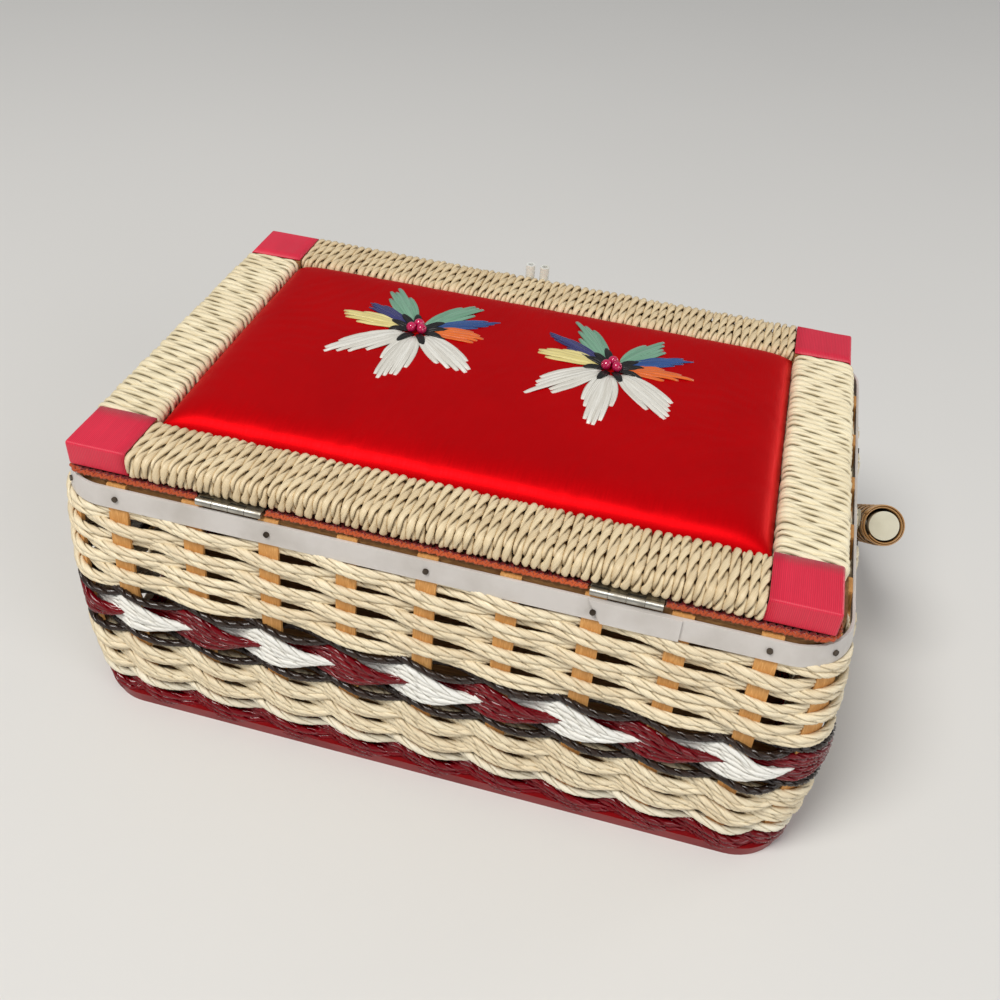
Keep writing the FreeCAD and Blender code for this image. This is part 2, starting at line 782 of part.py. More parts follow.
def make_hinges():
    """Both hinges with their pins and screws, and the screw holes for the hoop and the rail."""
    nodes = {"hinge_screws": [], "lid_hinge_screws": []}
    lower_holes = []
    upper_holes = []
    pitch = long_rail_pitch()
    axis_y = -(wall_half_depth + hoop_outer_layer + hinge_barrel_diameter / 2 + hinge_side_gap)
    axis_z = (wall_height + lid_bottom) / 2
    lower_top = wall_height + hinge_leaf_thickness
    upper_top = lid_bottom - hinge_lift
    upper_low = upper_top - hinge_leaf_thickness
    for name, side in (("left", -1), ("right", 1)):
        centre_x = nearest_turn(side * hinge_place, 0.75)
        lower = hinge_leaf(centre_x, axis_y, axis_z, wall_height, lower_top, range(0, hinge_knuckles, 2))
        upper = hinge_leaf(centre_x, axis_y, axis_z, upper_low, upper_top, range(1, hinge_knuckles, 2))
        for shift in (-pitch, pitch):
            place = Vector(centre_x + shift, axis_y + screw_inset, lower_top)
            nodes["hinge_screws"].append(countersunk_screw(place, Z_AXIS * -1, lower_screw_length, 0))
            lower_holes.append(countersunk_screw(place, Z_AXIS * -1, lower_screw_length, screw_clearance))
            place = Vector(centre_x + shift, axis_y + screw_inset, upper_low)
            nodes["lid_hinge_screws"].append(countersunk_screw(place, Z_AXIS, upper_screw_length, 0))
            upper_holes.append(countersunk_screw(place, Z_AXIS, upper_screw_length, screw_clearance))
        nodes["hinge_leaf_" + name] = lower.cut(lower_holes)
        nodes["lid_hinge_leaf_" + name] = upper.cut(upper_holes)
        pin_start = Vector(centre_x - hinge_length / 2, axis_y, axis_z)
        nodes["hinge_pin_" + name] = rod(pin_start, X_AXIS, hinge_pin_diameter, hinge_length)
    return nodes, lower_holes, upper_holes, Vector(0, axis_y, axis_z)


def make_underside(hinges):
    """The lining board under the lid, the braid round it, and the board that the pad stands on."""
    nodes = {}
    braid_top = lid_bottom - seat_gap
    outer = rounded_plate(
        lid_length / 2 - braid_inset, lid_depth / 2 - braid_inset, braid_inset,
        braid_top - braid_thickness, braid_top,
    )
    inset = braid_inset + braid_width
    inner = rounded_plate(
        lid_length / 2 - inset, lid_depth / 2 - inset, braid_inset, braid_top - braid_thickness, braid_top
    )
    braid = outer.cut(inner)
    for name in ("left", "right"):
        room = hinges["lid_hinge_leaf_" + name].BoundBox
        room.enlarge(hinge_pocket_clearance)
        corner = Vector(room.XMin, room.YMin, room.ZMin - lid_gap)
        braid = braid.cut(box_between(corner, Vector(room.XMax, room.YMax, room.ZMax)))
    nodes["lid_braid"] = single(braid)
    inset += seat_gap
    nodes["lid_lining"] = rounded_plate(
        lid_length / 2 - inset, lid_depth / 2 - inset, braid_inset, braid_top - lining_thickness, braid_top
    )
    nodes["pad_board"] = rounded_plate(
        long_rail_length / 2 - panel_clearance, short_rail_length / 2 - panel_clearance, braid_inset,
        braid_top + seat_gap, braid_top + seat_gap + pad_board_thickness,
    )
    return nodes, braid_top + 2 * seat_gap + pad_board_thickness


def handle_rod(diameter, arm_x):
    """A U-shaped rod in the plane of Z 0, with its pivot at Y 0 and its bar across at the far end."""
    bend = handle_bend_radius
    tip = handle_arm_length
    diagonal = bend * math.sqrt(0.5)
    foot = Vector(-arm_x, -handle_end_length, 0)
    left = Vector(-arm_x, tip - bend, 0)
    left_middle = Vector(-arm_x + bend - diagonal, tip - bend + diagonal, 0)
    left_top = Vector(-arm_x + bend, tip, 0)

    def opposite(point):
        return Vector(-point.x, point.y, 0)

    route = Part.Wire([
        Part.makeLine(foot, left),
        Part.Arc(left, left_middle, left_top).toShape(),
        Part.makeLine(left_top, opposite(left_top)),
        Part.Arc(opposite(left_top), opposite(left_middle), opposite(left)).toShape(),
        Part.makeLine(opposite(left), opposite(foot)),
    ])
    section = Part.Wire(Part.makeCircle(diameter / 2, foot, Y_AXIS))
    return route.makePipeShell([section], True, False)


def make_handle():
    """The swing handle, its bolts, and the holes that they need in the wall.

    Each bolt goes through the wall just in front of the middle stake. Its head sits in the core,
    under the wrap, and its nut is inside the basket.
    """
    nodes = {}
    widest = wall_half_length + wall_offset(wall_height / 2, twined_layer)
    arm_x = widest + handle_wall_gap + handle_diameter / 2
    core_rise = math.sqrt(handle_core_diameter ** 2 - bolt_head_diameter ** 2) / 2
    bolt_start = arm_x + core_rise - bolt_head_cover - bolt_head_height
    top_of_washer = handle_pivot_height + washer_diameter / 2
    washer_face = wall_half_length + wall_offset(top_of_washer, -weave_layer) - seat_gap
    bolt_end = washer_face - washer_thickness - nut_height - bolt_end_length
    right_bolt = Vector(bolt_start, handle_pivot_forward, handle_pivot_height)

    def bolt_rod(extra):
        return rod(right_bolt, X_AXIS * -1, bolt_diameter + 2 * extra, bolt_start - bolt_end)

    rest_angle = math.degrees(math.atan2(handle_drop, handle_forward))

    def placed(shape):
        return moved(turned(shape, -rest_angle, X_AXIS), 0, handle_pivot_forward, handle_pivot_height)

    holes = [bolt_rod(bolt_clearance), mirrored(bolt_rod(bolt_clearance))]
    core = placed(handle_rod(handle_core_diameter, arm_x))
    sleeve_bore = placed(handle_rod(handle_core_diameter + 2 * handle_wrap_clearance, arm_x))
    sleeve = placed(handle_rod(handle_diameter, arm_x)).cut(sleeve_bore)
    head_room = rod(
        right_bolt - X_AXIS * bolt_head_gap, X_AXIS,
        bolt_head_diameter + 2 * bolt_clearance, handle_core_diameter / 2,
    )
    nodes["handle_core"] = core.cut(holes + [head_room, mirrored(head_room)])
    nodes["handle_wrap"] = sleeve.cut(holes)

    head = rod(right_bolt, X_AXIS, bolt_head_diameter, bolt_head_height)
    bolt = head.fuse(bolt_rod(0))
    nodes["handle_bolt_right"] = single(bolt)
    nodes["handle_bolt_left"] = single(mirrored(bolt))

    washer_place = Vector(washer_face, handle_pivot_forward, handle_pivot_height)
    washer = rod(washer_place, X_AXIS * -1, washer_diameter, washer_thickness)
    washer = washer.cut(holes)
    nodes["handle_washers"] = [washer, mirrored(washer)]
    nut_start = washer_face - washer_thickness
    corners = []
    for index in range(7):
        angle = math.radians(60 * index)
        reach = nut_width / math.sqrt(3)
        height = handle_pivot_height + reach * math.sin(angle)
        corners.append(Vector(nut_start, handle_pivot_forward + reach * math.cos(angle), height))
    nut = Part.Face(Part.makePolygon(corners)).extrude(Vector(-nut_height, 0, 0)).cut(holes)
    nodes["handle_nuts"] = [nut, mirrored(nut)]

    bottom_of_spacer = handle_pivot_height - spacer_diameter / 2
    spacer_start = wall_half_length + wall_offset(bottom_of_spacer, weave_layer) + spacer_gap
    spacer_end = arm_x - handle_diameter / 2 - spacer_gap
    spacer_place = Vector(spacer_start, handle_pivot_forward, handle_pivot_height)
    spacer = rod(spacer_place, X_AXIS, spacer_diameter, spacer_end - spacer_start).cut(holes)
    nodes["handle_spacer_right"] = spacer
    nodes["handle_spacer_left"] = mirrored(spacer)
    return nodes, holes


def loop_route(offset_start):
    """The teardrop route of the closure loop hanging straight down from its pivot, legs first."""
    leg_x = loop_leg_spacing / 2
    ring = loop_ring_radius
    centre = Vector(0, 0, -loop_ring_distance)
    start = Vector(leg_x, 0, -offset_start)
    to_start = start - centre
    reach = to_start.Length
    start_angle = math.atan2(to_start.z, to_start.x)
    touch_angle = start_angle - math.acos(ring / reach)
    touch = centre + Vector(ring * math.cos(touch_angle), 0, ring * math.sin(touch_angle))
    opposite = Vector(-touch.x, 0, touch.z)
    bottom = centre - Z_AXIS * ring
    return Part.Wire([
        Part.makeLine(start, touch),
        Part.Arc(touch, bottom, opposite).toShape(),
        Part.makeLine(opposite, Vector(-start.x, 0, start.z)),
    ])


def make_closure():
    """The vinyl loop on the lid's front, its nailed tails, and the peg that it hooks over."""
    nodes = {}
    middle_x = nearest_turn(closure_place, 0.25)
    axis_y = lid_depth / 2 + loop_face_gap + loop_tube_diameter / 2
    axis_z = lid_bottom + loop_pivot_lift
    tube_radius = loop_tube_diameter / 2
    pivot = Vector(middle_x, axis_y, axis_z)

    route = loop_route(0)
    start = route.Vertexes[0].Point
    way = route.Edges[0].tangentAt(route.Edges[0].FirstParameter)
    section = Part.Wire(Part.makeCircle(tube_radius, start, way))
    loop = route.makePipeShell([section], True, False)
    balls = []
    for side in (-1, 1):
        balls.append(Part.makeSphere(tube_radius, Vector(side * loop_leg_spacing / 2, 0, 0)))
    loop = single(loop.multiFuse(balls))
    loop = turned(loop, loop_rest_angle, X_AXIS)
    nodes["closure_loop"] = moved(loop, pivot.x, pivot.y, pivot.z)

    tails = []
    nails = []
    nail_holes = []
    nail_height = axis_z + loop_nail_lift
    for side in (-1, 1):
        foot = pivot + X_AXIS * (side * loop_leg_spacing / 2)
        length = lid_top + loop_rise - axis_z
        tail = rod(foot, Z_AXIS, loop_tube_diameter, length)
        tail = tail.cut(rod(foot, Z_AXIS, loop_tube_bore, length))
        tail = tail.cut(Part.makeSphere(tube_radius + loop_joint_gap, foot))
        nail_start = Vector(foot.x, axis_y + tube_radius + nail_clearance, nail_height)
        nail_length = loop_tube_diameter + loop_face_gap + winding_cord_diameter + loop_nail_depth
        shank = rod(nail_start, Y_AXIS * -1, loop_nail_diameter, nail_length)
        head = rod(nail_start, Y_AXIS, loop_nail_head_diameter, nail_head_height)
        nails.append(head.fuse(shank))
        hole_diameter = loop_nail_diameter + 2 * nail_clearance
        hole = rod(nail_start, Y_AXIS * -1, hole_diameter, nail_length + nail_clearance)
        nail_holes.append(hole)
        tails.append(tail.cut(hole))
    nodes["loop_tails"] = tails
    nodes["loop_nails"] = nails

    hooked = math.radians(loop_hooked_angle)
    peg_z = axis_z - loop_ring_distance * math.cos(hooked)
    ring_face = axis_y + loop_ring_distance * math.sin(hooked) + tube_radius / math.cos(hooked)
    head_start = ring_face + peg_head_gap
    shank_end = wall_half_depth + wall_offset(peg_z, stake_skin) + seat_gap
    shank_start = Vector(middle_x, shank_end, peg_z)
    head = rod(Vector(middle_x, head_start, peg_z), Y_AXIS, peg_head_diameter, peg_head_thickness)
    peg = head.fuse(rod(shank_start, Y_AXIS, peg_shank_diameter, head_start - shank_end))
    inside = wall_half_depth + wall_offset(peg_z + peg_screw_head_diameter / 2, -weave_layer) - seat_gap
    screw_start = Vector(middle_x, inside, peg_z)
    screw_length = head_start + peg_head_thickness - peg_screw_end_gap - inside
    hole_diameter = peg_screw_diameter + 2 * screw_clearance
    screw_hole = rod(screw_start, Y_AXIS, hole_diameter, screw_length + screw_clearance)
    screw = rod(screw_start, Y_AXIS, peg_screw_diameter, screw_length)
    screw_head = rod(screw_start, Y_AXIS * -1, peg_screw_head_diameter, peg_screw_head_height)
    nodes["closure_peg"] = single(peg.cut(screw_hole))
    nodes["peg_screw"] = single(screw.fuse(screw_head))
    shank_hole = rod(shank_start, Y_AXIS, peg_shank_diameter + 2 * seat_gap, head_start - shank_end)
    return nodes, nail_holes, [screw_hole, shank_hole], pivot


def build():
    """Every node of the box, by name: a solid or a list of solids."""
    nodes = {}
    stakes, slots = make_stakes()
    nodes["base_board"], nodes["base_rim"] = make_base()
    courses = make_courses(slots)
    courses.update(split_twined_course(courses.pop("twined_course")))
    hoop, band, nails, rim_holes = make_rim()
    hinges, lower_holes, upper_holes, hinge_axis = make_hinges()
    handle, bolt_holes = make_handle()
    closure, loop_holes, peg_holes, loop_axis = make_closure()

    for name, group in stakes.items():
        nodes[name] = [stake.cut(rim_holes + peg_holes) for stake in group]
    courses["upper_natural_weave"] = courses["upper_natural_weave"].cut(bolt_holes + peg_holes)
    nodes.update(courses)
    nodes["inner_hoop"] = hoop.cut(lower_holes)
    nodes["rim_band"] = band
    nodes["rim_nails"] = nails

    frame = make_frame()
    frame["back_rail"] = frame["back_rail"].cut(upper_holes)
    frame["front_rail"] = frame["front_rail"].cut(loop_holes)
    nodes.update(frame)
    underside, pad_low = make_underside(hinges)
    nodes.update(underside)
    pad = make_pad(pad_low)
    nodes["satin_pad"] = pad
    nodes["left_flower"] = make_flower(-flower_spacing / 2, pad)
    nodes["right_flower"] = make_flower(flower_spacing / 2, pad)
    nodes["flower_beads"] = make_beads(pad)
    nodes.update(hinges)
    nodes.update(handle)
    nodes.update(closure)
    print("hinge axis y %.3f z %.3f" % (hinge_axis.y, hinge_axis.z))
    print("loop axis y %.3f z %.3f x %.3f" % (loop_axis.y, loop_axis.z, loop_axis.x))
    return nodes


def main():
    os.makedirs("parts", exist_ok=True)
    nodes = build()
    for name, shape in nodes.items():
        solids = shape if isinstance(shape, list) else [shape]
        solids = [solid for item in solids for solid in item.Solids]
        whole = solids[0] if len(solids) == 1 else Part.makeCompound(solids)
        valid = all(solid.isValid() and solid.Volume > 0 for solid in solids)
        print("%-24s solids %2d volume %10.1f valid %s" % (name, len(solids), whole.Volume, valid))
        whole.exportStep("parts/%s.step" % name)
    print("nodes", len(nodes))


main()
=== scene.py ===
"""Looks of a wicker sewing box: woven basket, cord-wound lid, satin pad, swing handle and loop closure."""

import enum
import logging
import math
from dataclasses import dataclass, field, replace
from typing import Callable, Optional, Union

import bpy
import bmesh
import numpy as np
from mathutils import Matrix, Vector
from mathutils.bvhtree import BVHTree


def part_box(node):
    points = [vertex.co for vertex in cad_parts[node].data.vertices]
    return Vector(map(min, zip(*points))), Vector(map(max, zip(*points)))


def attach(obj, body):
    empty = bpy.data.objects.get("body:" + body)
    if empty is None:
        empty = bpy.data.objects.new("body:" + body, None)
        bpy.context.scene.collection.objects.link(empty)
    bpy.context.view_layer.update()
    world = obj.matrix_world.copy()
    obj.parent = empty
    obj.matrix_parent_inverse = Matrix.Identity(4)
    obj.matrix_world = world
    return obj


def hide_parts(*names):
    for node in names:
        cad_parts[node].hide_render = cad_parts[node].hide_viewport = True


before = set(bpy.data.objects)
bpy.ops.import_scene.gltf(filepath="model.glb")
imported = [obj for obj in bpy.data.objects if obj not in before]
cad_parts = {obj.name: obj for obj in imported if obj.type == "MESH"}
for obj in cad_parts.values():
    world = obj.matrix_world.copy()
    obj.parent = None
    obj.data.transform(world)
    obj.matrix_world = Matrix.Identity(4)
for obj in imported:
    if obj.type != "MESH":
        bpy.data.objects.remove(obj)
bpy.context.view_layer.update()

log = logging.getLogger("sewing_box")
MM = 0.001
# Radians all the way round, for a start that is left to chance
ANY_ANGLE = 6.28
# Metres that the fibres of the darkest strand are moved along, so that no two strands look alike
STRAND_SHIFT = 3.7
Colour = tuple[float, float, float, float]
Value = Union[float, Colour, bpy.types.NodeSocket]
Shape = Union[bpy.types.Mesh, bpy.types.Curve]


class Body(enum.Enum):
    """The moving bodies of the box."""

    BASKET = "basket"
    LID = "lid"
    HANDLE = "handle"
    LOOP = "loop"


def shade(red: int, green: int, blue: int) -> Colour:
    """A colour given in screen values, in the linear values that a shader takes.

    Args:
        red: red from 0 to 255.
        green: green from 0 to 255.
        blue: blue from 0 to 255.

    Returns:
        The linear colour with full opacity.
    """
    def linear(value: int) -> float:
        """One channel made linear."""
        share = value / 255
        return share / 12.92 if share <= 0.04045 else ((share + 0.055) / 1.055) ** 2.4

    return linear(red), linear(green), linear(blue), 1.0


# Node trees


@dataclass
class Graph:
    """A node tree with short calls for adding and joining nodes."""

    tree: bpy.types.NodeTree

    def add(self, kind: str, inputs: Optional[dict] = None, **settings: object) -> bpy.types.Node:
        """Add a node.

        Args:
            kind: the node's type name.
            inputs: a value or a socket to join for each input, by name or number.
            settings: properties of the node, set before its inputs.

        Returns:
            The new node.
        """
        node = self.tree.nodes.new(kind)
        for key, value in settings.items():
            setattr(node, key, value)
        for key, value in (inputs or {}).items():
            if isinstance(value, bpy.types.NodeSocket):
                self.tree.links.new(value, node.inputs[key])
            else:
                node.inputs[key].default_value = value
        return node

    def group(self, tree: bpy.types.NodeTree, **values: Value) -> bpy.types.Node:
        """Place a shader node group with its own values."""
        return self.add("ShaderNodeGroup", values, node_tree=tree)

    def here(self) -> bpy.types.NodeSocket:
        """The place on the object, in metres."""
        return self.add("ShaderNodeTexCoord").outputs["Object"]

    def carried(self, name: str) -> bpy.types.Node:
        """What the mesh carries under a name at each of its points."""
        return self.add("ShaderNodeAttribute", attribute_name=name)

    def drawn_out(self, place: Value, by: Value) -> bpy.types.NodeSocket:
        """A place drawn out by its own amount along each axis."""
        return self.add("ShaderNodeVectorMath", {0: place, 1: by}, operation="MULTIPLY").outputs[0]

    def sine(self, value: Value) -> bpy.types.NodeSocket:
        """The sine of a value."""
        return self.add("ShaderNodeMath", {0: value}, operation="SINE").outputs[0]

    def mix(self, factor: Value, first: Value, second: Value) -> bpy.types.NodeSocket:
        """Mix two colours.

        Args:
            factor: the share of the second colour.
            first: the first colour.
            second: the second colour.

        Returns:
            The mixed colour.
        """
        return self.add(
            "ShaderNodeMix", {0: factor, 6: first, 7: second}, data_type="RGBA", clamp_factor=True,
        ).outputs[2]

    def sum(self, way: str, first: Value, second: Value) -> bpy.types.NodeSocket:
        """Work out one sum of two values and give its result."""
        return self.add("ShaderNodeMath", {0: first, 1: second}, operation=way).outputs[0]

    def spread(self, value: Value, low: float, high: float) -> bpy.types.NodeSocket:
        """Spread a value from the range between low and high to the range from 0 to 1."""
        return self.add("ShaderNodeMapRange", {"Value": value, "From Min": low, "From Max": high}).outputs[0]

    def between(self, value: Value, low: float, high: float) -> bpy.types.NodeSocket:
        """Bring a value from the range from 0 to 1 to the range between low and high."""
        return self.add("ShaderNodeMapRange", {"Value": value, "To Min": low, "To Max": high}).outputs[0]

    def noise(self, place: Value, scale: Value, detail: float) -> bpy.types.NodeSocket:
        """Even noise at a place, as a value from 0 to 1."""
        values = {"Vector": place, "Scale": scale, "Detail": detail}
        return self.add("ShaderNodeTexNoise", values).outputs[0]

    def bump(self, height: Value, depth: float, strength: float) -> bpy.types.NodeSocket:
        """A normal that follows a height.

        Args:
            height: the height, from 0 to 1.
            depth: the depth in metres that a height of 1 stands for.
            strength: how much of it shows.

        Returns:
            The bent normal.
        """
        values = {"Strength": strength, "Distance": depth, "Height": height}
        return self.add("ShaderNodeBump", values).outputs[0]


SOCKETS = {"colour": "NodeSocketColor", "value": "NodeSocketFloat", "place": "NodeSocketVector"}


def new_group(name: str, inputs: dict[str, str], outputs: dict[str, str],
              fill: Callable[[Graph, dict], dict]) -> bpy.types.NodeTree:
    """Make a shader node group once.

    Args:
        name: the group's name.
        inputs: the kind of each input, by name.
        outputs: the kind of each output, by name.
        fill: adds the nodes, taking the graph and the input sockets and giving the output sockets.

    Returns:
        The group's node tree.
    """
    found = bpy.data.node_groups.get(name)
    if found:
        return found
    tree = bpy.data.node_groups.new(name, "ShaderNodeTree")
    for key, kind in inputs.items():
        tree.interface.new_socket(name=key, in_out="INPUT", socket_type=SOCKETS[kind])
    for key, kind in outputs.items():
        tree.interface.new_socket(name=key, in_out="OUTPUT", socket_type=SOCKETS[kind])
    graph = Graph(tree)
    entry = graph.add("NodeGroupInput")
    made = fill(graph, {key: entry.outputs[key] for key in inputs})
    graph.add("NodeGroupOutput", made)
    return tree


def fibre_group() -> bpy.types.NodeTree:
    """Streaks that run along a strand, a tint for each strand, and painted shade in the crease between
    plies.
    """
    def fill(graph: Graph, given: dict) -> dict:
        """Read the strand's own coordinates and draw the streaks.

        Args:
            graph: the group's graph.
            given: its inputs, by name.

        Returns:
            Its outputs, by name.
        """
        strand = graph.carried("strand").outputs["Vector"]
        tint, edge = (graph.carried(name).outputs["Fac"] for name in ("tint", "edge"))
        stretch = graph.add(
            "ShaderNodeCombineXYZ", {0: given["Along"], 1: given["Across"], 2: given["Across"]}
        ).outputs[0]
        fine = graph.noise(graph.drawn_out(strand, stretch), 1.0, 4.0)
        streak = graph.spread(fine, 0.32, 0.68)
        dark = graph.sum("MULTIPLY", graph.sum("SUBTRACT", 1.0, streak), given["Amount"])
        colour = graph.mix(dark, given["Colour"], given["Shade"])
        colour = graph.mix(graph.sum("MULTIPLY", tint, given["Tint"]), colour, given["Shade"])
        # Painted shade: each ply is darkened where it turns into the crease against the other ply, as the
        # edge mask says
        crease_shade = graph.sum("MULTIPLY", graph.spread(edge, 0.25, 1.0), given["Seam"])
        colour = graph.mix(crease_shade, colour, given["Groove"])
        return {"Colour": colour, "Height": fine, "Streak": streak}

    return new_group(
        "strand_fibres",
        {"Colour": "colour", "Shade": "colour", "Groove": "colour", "Along": "value", "Across": "value",
         "Amount": "value", "Tint": "value", "Seam": "value"},
        {"Colour": "colour", "Height": "value", "Streak": "value"},
        fill,
    )


def patina_group() -> bpy.types.NodeTree:
    """Uneven age and dust over a surface, in patches of a given size."""
    def fill(graph: Graph, given: dict) -> dict:
        """Lay patches over the colour.

        Args:
            graph: the group's graph.
            given: its inputs, by name.

        Returns:
            Its outputs, by name.
        """
        mask = graph.spread(graph.noise(graph.here(), given["Scale"], 4.0), 0.42, 0.75)
        aged = graph.mix(graph.sum("MULTIPLY", mask, given["Amount"]), given["Colour"], given["Dirt"])
        return {"Colour": aged, "Mask": mask}

    return new_group(
        "patina", {"Colour": "colour", "Dirt": "colour", "Amount": "value", "Scale": "value"},
        {"Colour": "colour", "Mask": "value"}, fill,
    )


# How close the year rings of the wood are, and how the slubs of a cloth are drawn out along X, Y and Z
RINGS = 34.0
SLUB_STRETCH = (1.0, 0.03, 0.03)


def grain_group() -> bpy.types.NodeTree:
    """Wood grain drawn out along one way, with pores."""
    def fill(graph: Graph, given: dict) -> dict:
        """Stretch the place, then draw bands and pores.

        Args:
            graph: the group's graph.
            given: its inputs, by name.

        Returns:
            Its outputs, by name.
        """
        drawn = graph.drawn_out(graph.here(), given["Stretch"])
        bands = graph.sine(graph.sum("MULTIPLY", graph.noise(drawn, 1.0, 3.0), RINGS))
        pores = graph.noise(drawn, 7.0, 5.0)
        line = graph.sum("MULTIPLY", graph.between(bands, 0.35, 0.8), graph.spread(pores, 0.3, 0.62))
        return {"Colour": graph.mix(line, given["Dark"], given["Light"]), "Height": pores, "Line": line}

    return new_group(
        "wood_grain", {"Light": "colour", "Dark": "colour", "Stretch": "place"},
        {"Colour": "colour", "Height": "value", "Line": "value"}, fill,
    )


def thread_group() -> bpy.types.NodeTree:
    """Fine parallel threads of a woven cloth, crossed by fainter ones."""
    def fill(graph: Graph, given: dict) -> dict:
        """Draw the ribs, the threads across them and the slubs.

        Args:
            graph: the group's graph.
            given: its inputs, by name.

        Returns:
            Its outputs, by name.
        """
        place = graph.here()
        along, across, up = graph.add("ShaderNodeSeparateXYZ", {0: place}).outputs

        def waves(way: bpy.types.NodeSocket) -> bpy.types.NodeSocket:
            """Even threads that follow each other along one way."""
            turns = graph.sum("MULTIPLY", way, graph.sum("MULTIPLY", given["Count"], 2 * math.pi))
            return graph.spread(graph.sine(turns), -1.0, 1.0)

        ribs = waves(graph.sum("ADD", along, graph.sum("MULTIPLY", across, given["Slant"])))
        cross = waves(graph.sum("ADD", across, up))
        height = graph.mix(given["Cross"], ribs, cross)
        drawn = graph.drawn_out(place, SLUB_STRETCH)
        slubs = graph.spread(graph.noise(drawn, given["Count"], 3.0), 0.3, 0.7)
        return {"Height": height, "Slub": slubs}

    return new_group(
        "cloth_threads", {"Count": "value", "Slant": "value", "Cross": "value"},
        {"Height": "value", "Slub": "value"}, fill,
    )


# Finishes


@dataclass(frozen=True)
class Finish:
    """A finish that becomes one material, made the first time that it is asked for."""

    name: str

    def surface(self, graph: Graph) -> dict:
        """The shader's inputs; each kind of finish has its own."""
        raise NotImplementedError

    def material(self) -> bpy.types.Material:
        """The finish's material."""
        label = self.name + "_finish"
        found = bpy.data.materials.get(label)
        if found:
            return found
        made = bpy.data.materials.new(label)
        made.use_nodes = True
        made.node_tree.nodes.clear()
        graph = Graph(made.node_tree)
        shader = graph.add("ShaderNodeBsdfPrincipled", self.surface(graph))
        graph.add("ShaderNodeOutputMaterial", {"Surface": shader.outputs[0]})
        return made


@dataclass(frozen=True)
class CordFinish(Finish):
    """Twisted cord, raffia or cane, with fibres along each strand."""

    colour: Colour
    dark: Colour
    roughness: float = 0.55
    streaks: float = 0.5
    tint: float = 0.3
    along: float = 160.0
    across: float = 5200.0
    coat: float = 0.0
    sheen: float = 0.0
    relief: float = 0.00018
    # Painted shade in the crease between plies: how strongly it is darkened, and the colour it is darkened
    # towards
    crease_shade: float = 0.0
    crease_shade_colour: Colour = (0.03, 0.018, 0.01, 1.0)
    gloss: float = 0.5
    slot: str = "natural_cord"

    def surface(self, graph: Graph) -> dict:
        """Fibre streaks in colour, gloss and relief.

        Args:
            graph: the material's graph.

        Returns:
            The shader's inputs, by name.
        """
        fibres = graph.group(
            fibre_group(), Colour=self.colour, Shade=self.dark, Groove=self.crease_shade_colour, Along=self.along,
            Across=self.across, Amount=self.streaks, Tint=self.tint, Seam=self.crease_shade,
        )
        aged = graph.group(
            patina_group(), Colour=fibres.outputs["Colour"], Dirt=self.dark, Amount=0.22, Scale=38.0,
        )
        streak = fibres.outputs["Streak"]
        return {
            "Base Color": aged.outputs["Colour"],
            "Roughness": graph.between(streak, self.roughness + 0.12, self.roughness - 0.08),
            "Specular IOR Level": self.gloss,
            "Coat Weight": self.coat,
            "Coat Roughness": 0.08,
            "Sheen Weight": self.sheen,
            "Sheen Roughness": 0.4,
            "Normal": graph.bump(fibres.outputs["Height"], self.relief, 0.7),
        }


@dataclass(frozen=True)
class WoodFinish(Finish):
    """Bare wood with its grain along one way."""

    light: Colour
    dark: Colour
    stretch: tuple[float, float, float]
    roughness: float = 0.6

    def surface(self, graph: Graph) -> dict:
        """Grain in colour, gloss and relief, with age over it.

        Args:
            graph: the material's graph.

        Returns:
            The shader's inputs, by name.
        """
        grain = graph.group(grain_group(), Light=self.light, Dark=self.dark, Stretch=self.stretch)
        aged = graph.group(
            patina_group(), Colour=grain.outputs["Colour"], Dirt=self.dark, Amount=0.4, Scale=55.0,
        )
        return {
            "Base Color": aged.outputs["Colour"],
            "Roughness": graph.between(grain.outputs["Line"], self.roughness + 0.12, self.roughness - 0.06),
            "Normal": graph.bump(grain.outputs["Height"], 0.00015, 0.6),
        }


@dataclass(frozen=True)
class PaintFinish(Finish):
    """Glossy paint brushed on wood, a little uneven and worn through in places."""

    colour: Colour
    worn: Colour
    roughness: float = 0.25

    def surface(self, graph: Graph) -> dict:
        """Brush marks in the gloss, and dull worn patches.

        Args:
            graph: the material's graph.

        Returns:
            The shader's inputs, by name.
        """
        aged = graph.group(patina_group(), Colour=self.colour, Dirt=self.worn, Amount=0.5, Scale=45.0)
        marks = graph.noise(graph.here(), 260.0, 4.0)
        return {
            "Base Color": aged.outputs["Colour"],
            "Roughness": graph.between(aged.outputs["Mask"], self.roughness, self.roughness + 0.2),
            "Specular IOR Level": 0.3,
            "Coat Weight": 0.12,
            "Coat Roughness": 0.1,
            "Normal": graph.bump(marks, 0.0003, 0.5),
        }


